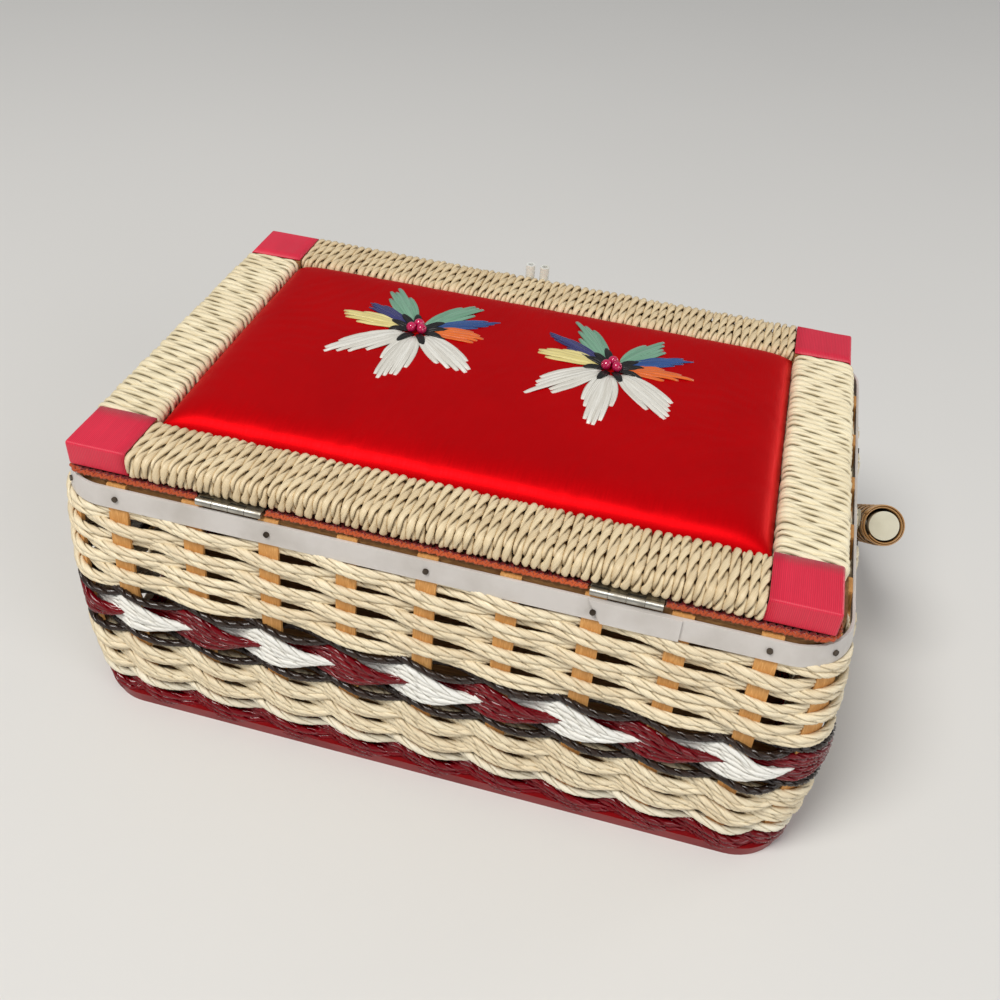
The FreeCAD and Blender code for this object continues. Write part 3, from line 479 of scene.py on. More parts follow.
@dataclass(frozen=True)
class ClothFinish(Finish):
    """Woven cloth such as ribbon, satin or lining."""

    colour: Colour
    # The deep colour is both the painted shade in the thread hollows and the dirt of the patina
    deep: Colour
    count: float
    slant: float = 0.0
    cross: float = 0.2
    roughness: float = 0.5
    metallic: float = 0.0
    sheen: float = 0.0
    relief: float = 0.0001
    # Painted shade: how far the hollows between the threads are darkened towards the deep colour
    ribs: float = 0.5
    gleam: Colour = (1.0, 1.0, 1.0, 1.0)

    def surface(self, graph: Graph) -> dict:
        """Threads in relief, with painted shade in their hollows, slubs and soft patches.

        Args:
            graph: the material's graph.

        Returns:
            The shader's inputs, by name.
        """
        threads = graph.group(thread_group(), Count=self.count, Slant=self.slant, Cross=self.cross)
        height, slub = threads.outputs
        depth = graph.sum("MULTIPLY", height, graph.between(slub, 0.4, 1.0))
        # Painted shade: darker where the threads lie low, in the hollows between the ribs
        hollow_shade = graph.sum("MULTIPLY", graph.sum("SUBTRACT", 1.0, depth), self.ribs)
        woven = graph.mix(hollow_shade, self.colour, self.deep)
        aged = graph.group(patina_group(), Colour=woven, Dirt=self.deep, Amount=0.3, Scale=26.0)
        return {
            "Base Color": aged.outputs["Colour"],
            "Roughness": graph.between(slub, self.roughness - 0.06, self.roughness + 0.1),
            "Metallic": self.metallic,
            "Specular Tint": self.gleam,
            "Sheen Weight": self.sheen,
            "Sheen Roughness": 0.35,
            "Normal": graph.bump(height, self.relief, 0.5),
        }


@dataclass(frozen=True)
class PlasticFinish(Finish):
    """Milky or clear plastic, scuffed by use."""

    colour: Colour
    scuff: Colour
    roughness: float = 0.35
    milk: float = 0.0
    coat: float = 0.0

    def surface(self, graph: Graph) -> dict:
        """Scuffs in colour and gloss.

        Args:
            graph: the material's graph.

        Returns:
            The shader's inputs, by name.
        """
        aged = graph.group(patina_group(), Colour=self.colour, Dirt=self.scuff, Amount=0.55, Scale=60.0)
        scratches = graph.noise(graph.here(), 700.0, 4.0)
        return {
            "Base Color": aged.outputs["Colour"],
            "Roughness": graph.between(scratches, self.roughness - 0.1, self.roughness + 0.18),
            "Subsurface Weight": self.milk,
            "Subsurface Radius": (0.004, 0.004, 0.004),
            "Subsurface Scale": 0.5,
            "Coat Weight": self.coat,
            "Normal": graph.bump(scratches, 0.0001, 0.35),
        }


@dataclass(frozen=True)
class MetalFinish(Finish):
    """Plated steel, tarnished in patches and rubbed along."""

    colour: Colour
    tarnish: Colour
    roughness: float = 0.32

    def surface(self, graph: Graph) -> dict:
        """Tarnish in colour and gloss, and fine rubbing marks.

        Args:
            graph: the material's graph.

        Returns:
            The shader's inputs, by name.
        """
        aged = graph.group(patina_group(), Colour=self.colour, Dirt=self.tarnish, Amount=0.75, Scale=180.0)
        rubbed = graph.noise(graph.here(), 1500.0, 4.0)
        return {
            "Base Color": aged.outputs["Colour"],
            "Metallic": 1.0,
            "Roughness": graph.between(aged.outputs["Mask"], self.roughness, self.roughness + 0.25),
            "Normal": graph.bump(rubbed, 0.00006, 0.5),
        }


NATURAL_CORD = CordFinish(
    "natural_cord", shade(252, 240, 208), shade(184, 152, 106), roughness=0.42, tint=0.22, crease_shade=0.8,
)
RAIL_CORD = CordFinish(
    "rail_cord", shade(246, 228, 190), shade(180, 148, 102), roughness=0.42, streaks=0.45, tint=0.25,
    crease_shade=0.6,
)
PALE_CORD = CordFinish(
    "pale_cord", shade(250, 240, 208), shade(186, 160, 112), roughness=0.45, streaks=0.45, tint=0.2,
    crease_shade=0.6,
)
EDGE_CORD = CordFinish(
    "edge_cord", shade(250, 244, 224), shade(200, 180, 140), roughness=0.42, crease_shade=0.6, slot="white_cord",
)
WHITE_CORD = CordFinish(
    "white_cord", shade(250, 249, 243), shade(206, 198, 180), roughness=0.42, streaks=0.35, tint=0.2,
    crease_shade=0.7, slot="white_cord",
)
RED_CORD = CordFinish(
    "red_cord", shade(132, 0, 14), shade(64, 0, 7), roughness=0.12, tint=0.4, relief=0.00005, crease_shade=0.7,
    crease_shade_colour=shade(34, 0, 4), gloss=0.28, coat=0.3, slot="red_cord",
)
DARK_CORD = CordFinish(
    "dark_cord", shade(60, 42, 32), shade(18, 12, 9), roughness=0.24, streaks=0.8, tint=0.4, relief=0.0001,
    crease_shade=0.7, crease_shade_colour=shade(10, 6, 4), gloss=0.35, coat=0.25, slot="dark_cord",
)
CANE = CordFinish(
    "tan_cane", shade(203, 160, 104), shade(130, 88, 46), roughness=0.42, streaks=0.55, along=30.0,
    across=2600.0, coat=0.15,
)
ORANGE_YARN = CordFinish(
    "orange_yarn", shade(206, 92, 38), shade(124, 38, 18), roughness=0.8, sheen=0.3, tint=0.5,
)
RED_YARN = CordFinish(
    "red_yarn", shade(142, 26, 24), shade(70, 10, 10), roughness=0.8, sheen=0.2, tint=0.5,
)
STAKE_WOOD = WoodFinish("stake_wood", shade(236, 182, 112), shade(196, 136, 70), (420.0, 420.0, 26.0))
HOOP_WOOD = WoodFinish("hoop_wood", shade(186, 140, 84), shade(118, 78, 40), (60.0, 60.0, 620.0))
BOARD_WOOD = WoodFinish("board_wood", shade(206, 164, 108), shade(150, 106, 60), (16.0, 320.0, 320.0))
RAIL_WOOD = WoodFinish("rail_wood", shade(196, 152, 98), shade(140, 96, 54), (40.0, 300.0, 300.0))
RED_PAINT = PaintFinish("red_paint", shade(132, 6, 12), shade(84, 4, 8), roughness=0.4)
RIBBON = ClothFinish(
    "red_ribbon", shade(236, 44, 74), shade(164, 12, 38), count=1500.0, cross=0.1, roughness=0.42, sheen=0.1,
    relief=0.00015,
)
SATIN = ClothFinish(
    "red_satin", shade(216, 2, 10), shade(172, 0, 6), count=3600.0, cross=0.35, roughness=0.44,
    metallic=0.55, relief=0.00003, ribs=0.25, gleam=shade(255, 90, 96),
)
LINING = ClothFinish(
    "lining_cloth", shade(168, 40, 44), shade(120, 22, 26), count=900.0, cross=0.5, roughness=0.85,
)
BAND_PLASTIC = PlasticFinish(
    "white_band", shade(204, 198, 192), shade(168, 160, 150), roughness=0.4, milk=0.3,
)
VINYL = PlasticFinish(
    "white_vinyl", shade(226, 226, 220), shade(200, 194, 176), roughness=0.22, milk=0.3, coat=0.4,
)
CORE_PLASTIC = PlasticFinish(
    "white_core", shade(206, 202, 182), shade(166, 158, 132), roughness=0.5, milk=0.1,
)
BEAD_GLASS = PlasticFinish(
    "pink_bead", shade(206, 22, 88), shade(146, 6, 50), roughness=0.14, milk=0.1, coat=0.8,
)
STEEL = MetalFinish("zinc_steel", shade(190, 187, 178), shade(112, 104, 90))
DARK_STEEL = MetalFinish("nail_steel", shade(96, 86, 76), shade(44, 34, 26), roughness=0.45)
STITCH_BLACK = CordFinish(
    "black_raffia", shade(26, 24, 22), shade(8, 8, 8), roughness=0.4, along=60.0, across=2600.0,
)


class Raffia(enum.Enum):
    """The colours of the flowers' petals."""

    ORANGE = ("orange", shade(240, 122, 40), shade(196, 78, 20))
    BLUE = ("blue", shade(44, 92, 158), shade(24, 50, 104))
    GREEN = ("green", shade(136, 178, 152), shade(84, 132, 104))
    PURPLE = ("purple", shade(58, 60, 122), shade(34, 30, 76))
    YELLOW = ("yellow", shade(238, 226, 158), shade(196, 176, 100))
    WHITE = ("white", shade(242, 240, 232), shade(186, 180, 166))

    def finish(self) -> CordFinish:
        """The finish of this colour."""
        label, colour, dark = self.value
        return CordFinish(
            "raffia_" + label, colour, dark, roughness=0.36, streaks=0.75, tint=0.35, along=60.0,
            across=2600.0, sheen=0.2, relief=0.0003,
        )


# Pieces


def settle(piece: bpy.types.Object, body: Body, slot: str, *nodes: str) -> bpy.types.Object:
    """Put a finished piece on its body.

    Args:
        piece: the piece, in place.
        body: the body that it moves with.
        slot: the record's material slot; not used.
        nodes: the CAD nodes that it stands for.

    Returns:
        The piece.
    """
    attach(piece, body.value)
    if nodes:
        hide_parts(*nodes)
    log.info("%s: %d faces on %s", piece.name, len(getattr(piece.data, "polygons", [])), body.value)
    return piece


def dress(finish: Finish, *nodes: str) -> None:
    """Give CAD nodes that stay in view their finish.

    Args:
        finish: the finish that they share.
        nodes: the nodes' names.
    """
    for node in nodes:
        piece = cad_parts[node]
        piece.data.materials.clear()
        piece.data.materials.append(finish.material())
        log.info("%s: %s", node, finish.name)


def new_object(name: str, data: bpy.types.ID) -> bpy.types.Object:
    """Make an object of its data and put it in the scene.

    Args:
        name: the object's name.
        data: its mesh, curve, light or camera.

    Returns:
        The object.
    """
    made = bpy.data.objects.new(name, data)
    bpy.context.scene.collection.objects.link(made)
    return made


def new_piece(name: str, shape: Shape, *finishes: Finish) -> bpy.types.Object:
    """Make an object of a mesh or a curve and give it its finishes.

    Args:
        name: the piece's name.
        shape: its mesh or curve.
        finishes: its finishes, in the order of their slots.

    Returns:
        The piece.
    """
    for finish in finishes:
        shape.materials.append(finish.material())
    return new_object(name, shape)


def formed(work: bmesh.types.BMesh, name: str) -> bpy.types.Mesh:
    """A smooth mesh of a form that is ready, which is then freed.

    Args:
        work: the form.
        name: the mesh's name.

    Returns:
        The mesh.
    """
    mesh = bpy.data.meshes.new(name)
    work.to_mesh(mesh)
    work.free()
    mesh.shade_smooth()
    return mesh


def chance_for(seed: int, name: str) -> np.random.Generator:
    """A piece's own source of small differences, the same in each run."""
    return np.random.default_rng(seed + sum(name.encode()))


def unit(vectors: np.ndarray) -> np.ndarray:
    """Each row of an array brought to length 1."""
    return vectors / np.maximum(np.linalg.norm(vectors, axis=1, keepdims=True), 1e-12)


def headings(line: np.ndarray, closed: bool) -> np.ndarray:
    """The direction of a line at each of its points.

    Args:
        line: the points, one in each row.
        closed: whether the last point joins the first.

    Returns:
        A unit vector for each point.
    """
    if closed:
        return unit(np.roll(line, -1, axis=0) - np.roll(line, 1, axis=0))
    return unit(np.gradient(line, axis=0))


def run_lengths(line: np.ndarray) -> np.ndarray:
    """How far along a line each of its points is."""
    steps = np.linalg.norm(np.diff(line, axis=0), axis=1)
    return np.concatenate([[0.0], np.cumsum(steps)])


def read_along(line: np.ndarray, far: np.ndarray, spots: np.ndarray) -> np.ndarray:
    """The points of a line at given lengths along it.

    Args:
        line: the line's points, one in each row.
        far: how far along the line each of them is.
        spots: the lengths to read it at; past an end they give the end.

    Returns:
        A point for each spot.
    """
    return np.column_stack([np.interp(spots, far, column) for column in line.T])


def square_to(way: np.ndarray, near: np.ndarray) -> np.ndarray:
    """Unit vectors at right angles to a way, as near as they can be to the given ones."""
    return unit(near - way * np.sum(near * way, axis=1, keepdims=True))


# The angles, in degrees, at which the points of a strand's section stand
OVAL = (0, 45, 90, 135, 180, 225, 270, 315)
PLY = (0, 60, 120, 180, 225, 270, 315)
YARN = (0, 72, 144, 216, 288)


@dataclass
class StrandMesh:
    """Strands gathered into one mesh, each with its own coordinates and tint for the fibres.

    The corners are the angles at which the points of a strand's section stand, from its side towards its up.
    """

    name: str
    corners: tuple[float, ...] = OVAL
    points: list = field(default_factory=list)
    faces: list = field(default_factory=list)
    strand: list = field(default_factory=list)
    tint: list = field(default_factory=list)
    # Edge mask for the painted shade in the crease between plies: 1 where a ply turns in towards the other
    # ply
    edge: list = field(default_factory=list)
    slots: list = field(default_factory=list)
    count: int = 0

    def add(self, line: np.ndarray, side: np.ndarray, up: np.ndarray, half_wide: np.ndarray,
            half_high: np.ndarray, closed: bool, tint: float, slot: int = 0) -> None:
        """Add one strand.

        Args:
            line: the middle of the strand.
            side: the section's first direction at each point.
            up: the section's second direction at each point.
            half_wide: half the section's size along side at each point.
            half_high: half the section's size along up at each point.
            closed: whether the strand runs round into itself.
            tint: how dark the strand is, from 0 to 1.
            slot: the number of its material.
        """
        total = len(line)
        sides = len(self.corners)
        turn = np.radians(self.corners)
        wide = half_wide[:, None] * np.cos(turn)
        high = half_high[:, None] * np.sin(turn)
        ring = line[:, None] + side[:, None] * wide[:, :, None] + up[:, None] * high[:, :, None]
        along = np.repeat(run_lengths(line)[:, None], sides, axis=1) + STRAND_SHIFT * tint
        own = np.stack([along, wide, high], axis=2)
        first = np.arange(total if closed else total - 1)
        second = (first + 1) % total
        corner = np.arange(sides)
        after = (corner + 1) % sides
        quads = np.stack([
            first[:, None] * sides + corner, first[:, None] * sides + after,
            second[:, None] * sides + after, second[:, None] * sides + corner,
        ], axis=2).reshape(-1, 4)
        self.points.append(ring.reshape(-1, 3))
        self.strand.append(own.reshape(-1, 3))
        self.tint.append(np.full(total * sides, tint))
        # Edge mask for the painted crease shade: 1 on the side of the ply that faces into the crease
        self.edge.append(np.tile(np.clip(np.sin(turn), 0, 1), total))
        self.faces += (quads + self.count).tolist()
        self.slots += [slot] * len(quads)
        if not closed:
            start = (corner[::-1] + self.count).tolist()
            end = (corner + self.count + (total - 1) * sides).tolist()
            self.faces += [start, end]
            self.slots += [slot, slot]
        self.count += total * sides

    def piece(self, *finishes: Finish) -> bpy.types.Object:
        """The gathered strands as one piece."""
        mesh = bpy.data.meshes.new(self.name)
        mesh.from_pydata(np.concatenate(self.points).tolist(), [], self.faces)
        mesh.polygons.foreach_set("material_index", self.slots)
        strand = mesh.attributes.new("strand", "FLOAT_VECTOR", "POINT")
        strand.data.foreach_set("vector", np.concatenate(self.strand).astype(np.float32).ravel())
        for key, values in (("tint", self.tint), ("edge", self.edge)):
            layer = mesh.attributes.new(key, "FLOAT", "POINT")
            layer.data.foreach_set("value", np.concatenate(values).astype(np.float32))
        mesh.shade_smooth()
        return new_piece(self.name, mesh, *finishes)


@dataclass(frozen=True)
class Cord:
    """A cord of two plies twisted round each other.

    A ply's offset and half sizes are shares of the cord's diameter. A change has its amount, in radians
    or as a share of the diameter, and the turns after which it comes round.
    """

    diameter: float
    lay: float
    plies: int = 2
    ply_offset: float = 0.2
    ply_depth: float = 0.3
    ply_width: float = 0.46
    twist_changes: tuple = ((0.5, 7.0), (0.45, 2.7))
    thickness_change: tuple = (0.06, 3.4)

    def lay_along(self, mesh: StrandMesh, line: np.ndarray, outward: np.ndarray, closed: bool,
                  chance: np.random.Generator, slot: int = 0) -> None:
        """Lay the cord along a line.

        Args:
            mesh: the mesh that takes the plies.
            line: the middle of the cord.
            outward: a direction away from what the cord lies on, at each point.
            closed: whether the cord runs round into itself.
            chance: the source of small differences.
            slot: the number of its material.
        """
        way = headings(line, closed)
        side = square_to(way, outward)
        up = np.cross(way, side)
        far = run_lengths(line)
        total = far[-1] + (np.linalg.norm(line[0] - line[-1]) if closed else 0.0)
        turns = max(1, round(total / self.lay))

        def uneven(amount: float, period: float) -> np.ndarray:
            """A small change along the cord, that comes round after so many turns."""
            wave = 2 * math.pi * round(turns / period) * far / total
            return amount * np.sin(wave + chance.uniform(0, ANY_ANGLE))

        angle = chance.uniform(0, ANY_ANGLE) + 2 * math.pi * turns * far / total
        for change in self.twist_changes:
            angle += uneven(*change)
        thick = self.diameter * (1 + uneven(*self.thickness_change))
        for ply in range(self.plies):
            turn = (angle + 2 * math.pi * ply / self.plies)[:, None]
            away = np.cos(turn) * side + np.sin(turn) * up
            beside = np.cos(turn) * up - np.sin(turn) * side
            middle = line + away * (self.ply_offset * thick)[:, None]
            wide, deep = self.ply_width * thick, self.ply_depth * thick
            mesh.add(middle, beside, -away, wide, deep, closed, chance.uniform(0, 1), slot)


class Part:
    """A sub-assembly of the box; each kind builds and dresses what it has."""

    def build(self) -> None:
        """Make the new pieces."""

    def dress(self) -> None:
        """Finish the CAD nodes that stay in view."""


# Basket wall


@dataclass(frozen=True)
class WallShape:
    """The basket's bulging wall, measured on the middle of its stakes."""

    half_length: float = 144.5 * MM
    half_depth: float = 93.0 * MM
    corner_radius: float = 18.0 * MM
    bulge: float = 5.5 * MM
    height: float = 121.0 * MM
    stake_step: float = 30.0 * MM
    stakes_beside_middle: tuple[int, int] = (4, 2)
    stakes: int = 32

    @property
    def bulge_radius(self) -> float:
        """The radius of the wall's section."""
        return ((self.height / 2) ** 2 + self.bulge ** 2) / (2 * self.bulge)

    @property
    def run_long(self) -> float:
        """Half the straight run of a long side."""
        return self.half_length - self.corner_radius

    @property
    def run_short(self) -> float:
        """Half the straight run of a short side."""
        return self.half_depth - self.corner_radius

    def stations(self) -> np.ndarray:
        """How far round the outline each stake stands, from the middle of the back and round to it."""
        bend = math.pi / 2 * self.corner_radius
        beside_long, beside_short = self.stakes_beside_middle
        long_side = self.stake_step * np.arange(-beside_long, beside_long + 1)
        short_side = self.stake_step * np.arange(-beside_short, beside_short + 1)
        quarter_ends = self.run_long + bend / 2
        right_middle = self.run_long + bend + self.run_short
        front_middle = right_middle + self.run_short + bend + self.run_long
        left_middle = front_middle + self.run_long + bend + self.run_short
        whole = 2 * front_middle
        return np.concatenate([
            long_side[beside_long:], [quarter_ends],
            right_middle + short_side, [front_middle - quarter_ends],
            front_middle + long_side, [front_middle + quarter_ends],
            left_middle + short_side, [whole - quarter_ends],
            whole + long_side[:beside_long + 1],
        ])

    def outline(self, far: np.ndarray) -> tuple[np.ndarray, np.ndarray]:
        """Points of the outline.

        Args:
            far: how far round each point is.

        Returns:
            The points and the outward directions, as X and Y.
        """
        bend = math.pi / 2 * self.corner_radius
        runs = (self.run_long, 2 * self.run_short, 2 * self.run_long, 2 * self.run_short, self.run_long)
        place = np.zeros((len(far), 2))
        outward = np.zeros((len(far), 2))
        here = np.array([0.0, -self.half_depth])
        start = 0.0
        for side, run in enumerate(runs):
            heading = math.pi / 2 * side
            way = np.array([math.cos(heading), math.sin(heading)])
            right = np.array([way[1], -way[0]])
            on = (far >= start - 1e-9) & (far <= start + run + 1e-9)
            place[on] = here + way * (far[on] - start)[:, None]
            outward[on] = right
            here = here + way * run
            start += run
            if side == len(runs) - 1:
                break
            centre = here - right * self.corner_radius
            on = (far > start) & (far < start + bend)
            turn = heading - math.pi / 2 + (far[on] - start) / self.corner_radius
            outward[on] = np.stack([np.cos(turn), np.sin(turn)], axis=1)
            place[on] = centre + self.corner_radius * outward[on]
            here = centre + way * self.corner_radius
            start += bend
        return place, outward

    def points(self, stake: np.ndarray, height: np.ndarray,
               layer: np.ndarray) -> tuple[np.ndarray, np.ndarray]:
        """Points of the wall.

        Args:
            stake: the place round the wall, counted in stakes from the middle of the back.
            height: the height of each point.
            layer: how far each point stands out from the middle of the stakes.

        Returns:
            The points and the wall's outward directions there.
        """
        stations = self.stations()
        far = np.interp(stake, np.arange(len(stations)), stations)
        place, outward = self.outline(far)
        rise = height - self.height / 2
        radius = self.bulge_radius
        offset = np.sqrt((radius + layer) ** 2 - rise ** 2) - radius + self.bulge
        lean = np.arcsin(rise / radius)
        flat = place + outward * offset[:, None]
        points = np.column_stack([flat, height])
        ways = np.column_stack([outward * np.cos(lean)[:, None], np.sin(lean)])
        return points, ways


@dataclass(frozen=True)
class Row:
    """A bundle of cords that goes in front of one stake and behind the next.

    In front it comes out high on the left, spreads over its stake and goes in low on the right. A bundle
    that is twined round another one is wide where it comes out and narrow where it goes in, over the other
    one.
    """

    middle: float
    cords: int
    spacing: float
    front_at: int
    fall: float
    narrow: float = 0.03
    lead: float = 0.4
    delay: float = 0.8
    swell: float = 1.32
    behind: float = 0.8
    sag: float = 0.0
    bunch: float = 0.6 * MM
    drift: float = 0.26 * MM
    fan_sharpness: float = 1.2
    behind_sharpness: float = 1.4
    drift_waves: tuple = ((9, 19), (3, 8))

    def lines(self, wall: WallShape, cord: Cord, skin: float, chance: np.random.Generator,
              samples: int) -> list[tuple[np.ndarray, np.ndarray]]:
        """The line of each cord and the outward directions along it.

        Args:
            wall: the wall that the row runs round.
            cord: the cord that it is woven of.
            skin: how far the stakes' faces stand out.
            chance: the source of small differences.
            samples: the points from one stake to the next.

        Returns:
            A line and its outward directions for each cord.
        """
        made = []
        stake = np.arange(wall.stakes * samples) / samples
        phase = math.pi * (stake - self.front_at)
        reach = self.swell * (skin + cord.diameter / 2)
        fan = ((1 + np.cos(phase + self.lead)) / 2) ** self.fan_sharpness
        wave = np.cos(phase - self.delay)
        inside = self.behind * np.abs(wave) ** self.behind_sharpness
        layer = reach * np.where(wave > 0, wave, -inside)
        spread = self.narrow + (1 - self.narrow) * fan
        once = 2 * math.pi * stake / wall.stakes
        for index in range(self.cords):
            offset = (index - (self.cords - 1) / 2) * self.spacing
            drift = 0.0
            for fewest, most in self.drift_waves:
                waves = chance.integers(fewest, most)
                drift = drift + self.drift * np.sin(once * waves + chance.uniform(0, ANY_ANGLE))
            fall = self.fall * np.sin(phase) + self.sag * (1 - fan)
            height = self.middle - fall + offset * spread + drift
            bunch = self.bunch * (1 if index % 2 else -1) * (1 - fan)
            made.append(wall.points(stake, height, layer + bunch))
        return made


@dataclass
class BasketWall(Part):
    """The woven wall, its stakes and its base."""

    shape: WallShape = field(default_factory=WallShape)
    stake_skin: float = 0.75 * MM
    samples: int = 24
    wall_cord: Cord = Cord(3.2 * MM, 16.0 * MM)
    upper_cord: Cord = Cord(3.2 * MM, 17.0 * MM)
    leaf_cord: Cord = Cord(2.85 * MM, 16.0 * MM)
    dark_cord: Cord = Cord(3.0 * MM, 11.0 * MM)
    upper_rows: int = 7
    upper_fall: float = 1.0 * MM
    leaf_fall: float = 0.5 * MM
    dark_fall: float = 1.5 * MM
    lower_fall: float = 2.8 * MM
    red_fall: float = 2.0 * MM
    red_drop: float = 2.8 * MM
    closeness: float = 0.9
    lower_rows: tuple = (0.27, 0.73)
    leaf_cords: int = 6
    red_cords: int = 3
    seed: int = 11

    def weave(self, name: str, rows: list[Row], cord: Cord, finish: Finish, *nodes: str) -> None:
        """Weave rows into one piece.

        Args:
            name: the piece's name.
            rows: the rows, from the first to the last.
            cord: the cord that they are woven of.
            finish: the cord's finish.
            nodes: the CAD nodes that the piece stands for.
        """
        chance = chance_for(self.seed, name)
        mesh = StrandMesh(name, PLY)
        for row in rows:
            for line, outward in row.lines(self.shape, cord, self.stake_skin, chance, self.samples):
                cord.lay_along(mesh, line, outward, True, chance)
        settle(mesh.piece(finish), Body.BASKET, finish.slot, *nodes)

    def course(self, node: str) -> tuple[float, float]:
        """The bottom and the height of a course, from its CAD node."""
        low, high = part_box(node)
        return low.z, high.z - low.z

    @staticmethod
    def twined(row: Row) -> list[Row]:
        """A row and the one that is twined with it, in front where the first is behind."""
        return [row, replace(row, front_at=1)]

    def build(self) -> None:
        """Weave every course from the rim down."""
        low, tall = self.course("upper_natural_weave")
        step = tall / self.upper_rows
        for label, parity in (("odd", 1), ("even", 0)):
            first = Row(
                low, 2, self.closeness * self.upper_cord.diameter, parity, self.upper_fall, narrow=0.85,
                lead=0.0, delay=0.1, swell=0.95, behind=0.75, sag=0.7 * MM, bunch=0.3 * MM, drift=0.4 * MM,
            )
            rows = [
                replace(first, middle=low + step * (row + 0.5)) for row in range(self.upper_rows)
                if (self.upper_rows - row) % 2 == parity
            ]
            self.weave("natural_rows_" + label, rows, self.upper_cord, NATURAL_CORD, "upper_natural_weave")

        low, tall = self.course("white_twined_course")
        leaf = Row(low + tall / 2, self.leaf_cords, tall / self.leaf_cords, 0, self.leaf_fall)
        self.weave("white_leaves", [leaf], self.leaf_cord, WHITE_CORD, "white_twined_course")
        leaf = replace(leaf, front_at=1)
        self.weave("red_leaves", [leaf], self.leaf_cord, RED_CORD, "red_twined_course")

        for node in ("upper_dark_course", "lower_dark_course"):
            low, tall = self.course(node)
            band = Row(low + tall / 2, 1, 0.0, 0, self.dark_fall)
            self.weave(node + "_cords", self.twined(band), self.dark_cord, DARK_CORD, node)

        low, tall = self.course("lower_natural_weave")
        for label, front_at in (("even", 0), ("odd", 1)):
            spacing = self.closeness * self.wall_cord.diameter
            rows = [
                Row(low + tall * share, 3, spacing, front_at, self.lower_fall, narrow=0.45, delay=0.5)
                for share in self.lower_rows
            ]
            self.weave("lower_rows_" + label, rows, self.wall_cord, NATURAL_CORD, "lower_natural_weave")

        low, tall = self.course("white_edge_course")
        edge = Row(low + tall / 2, 1, 0.0, 0, self.lower_fall, delay=0.2, swell=1.4)
        self.weave("white_edge_cord", self.twined(edge), self.wall_cord, EDGE_CORD, "white_edge_course")

        low, tall = self.course("red_lower_weave")
        middle = low + tall / 2 - self.red_drop
        band = Row(middle, self.red_cords, tall / self.red_cords, 0, self.red_fall, narrow=0.5, delay=0.5)
        self.weave("red_base_rows", self.twined(band), self.wall_cord, RED_CORD, "red_lower_weave")

    def dress(self) -> None:
        """Finish the stakes and the base."""
        dress(STAKE_WOOD, "right_stakes", "front_stakes", "left_stakes", "back_stakes", "corner_stakes")
        dress(BOARD_WOOD, "base_board")
        dress(RED_PAINT, "base_rim")


@dataclass
class Rim(Part):
    """The hoop inside the stakes, the plastic band outside them, and the nails."""

    def dress(self) -> None:
        """Finish the rim's nodes."""
        dress(HOOP_WOOD, "inner_hoop")
        dress(BAND_PLASTIC, "rim_band")
        dress(DARK_STEEL, "rim_nails")


# Lid


# Each rail of the lid: its side, whether it lies along X, and the way it stands off the middle
RAILS = (("back", True, -1), ("front", True, 1), ("right", False, -1), ("left", False, 1))


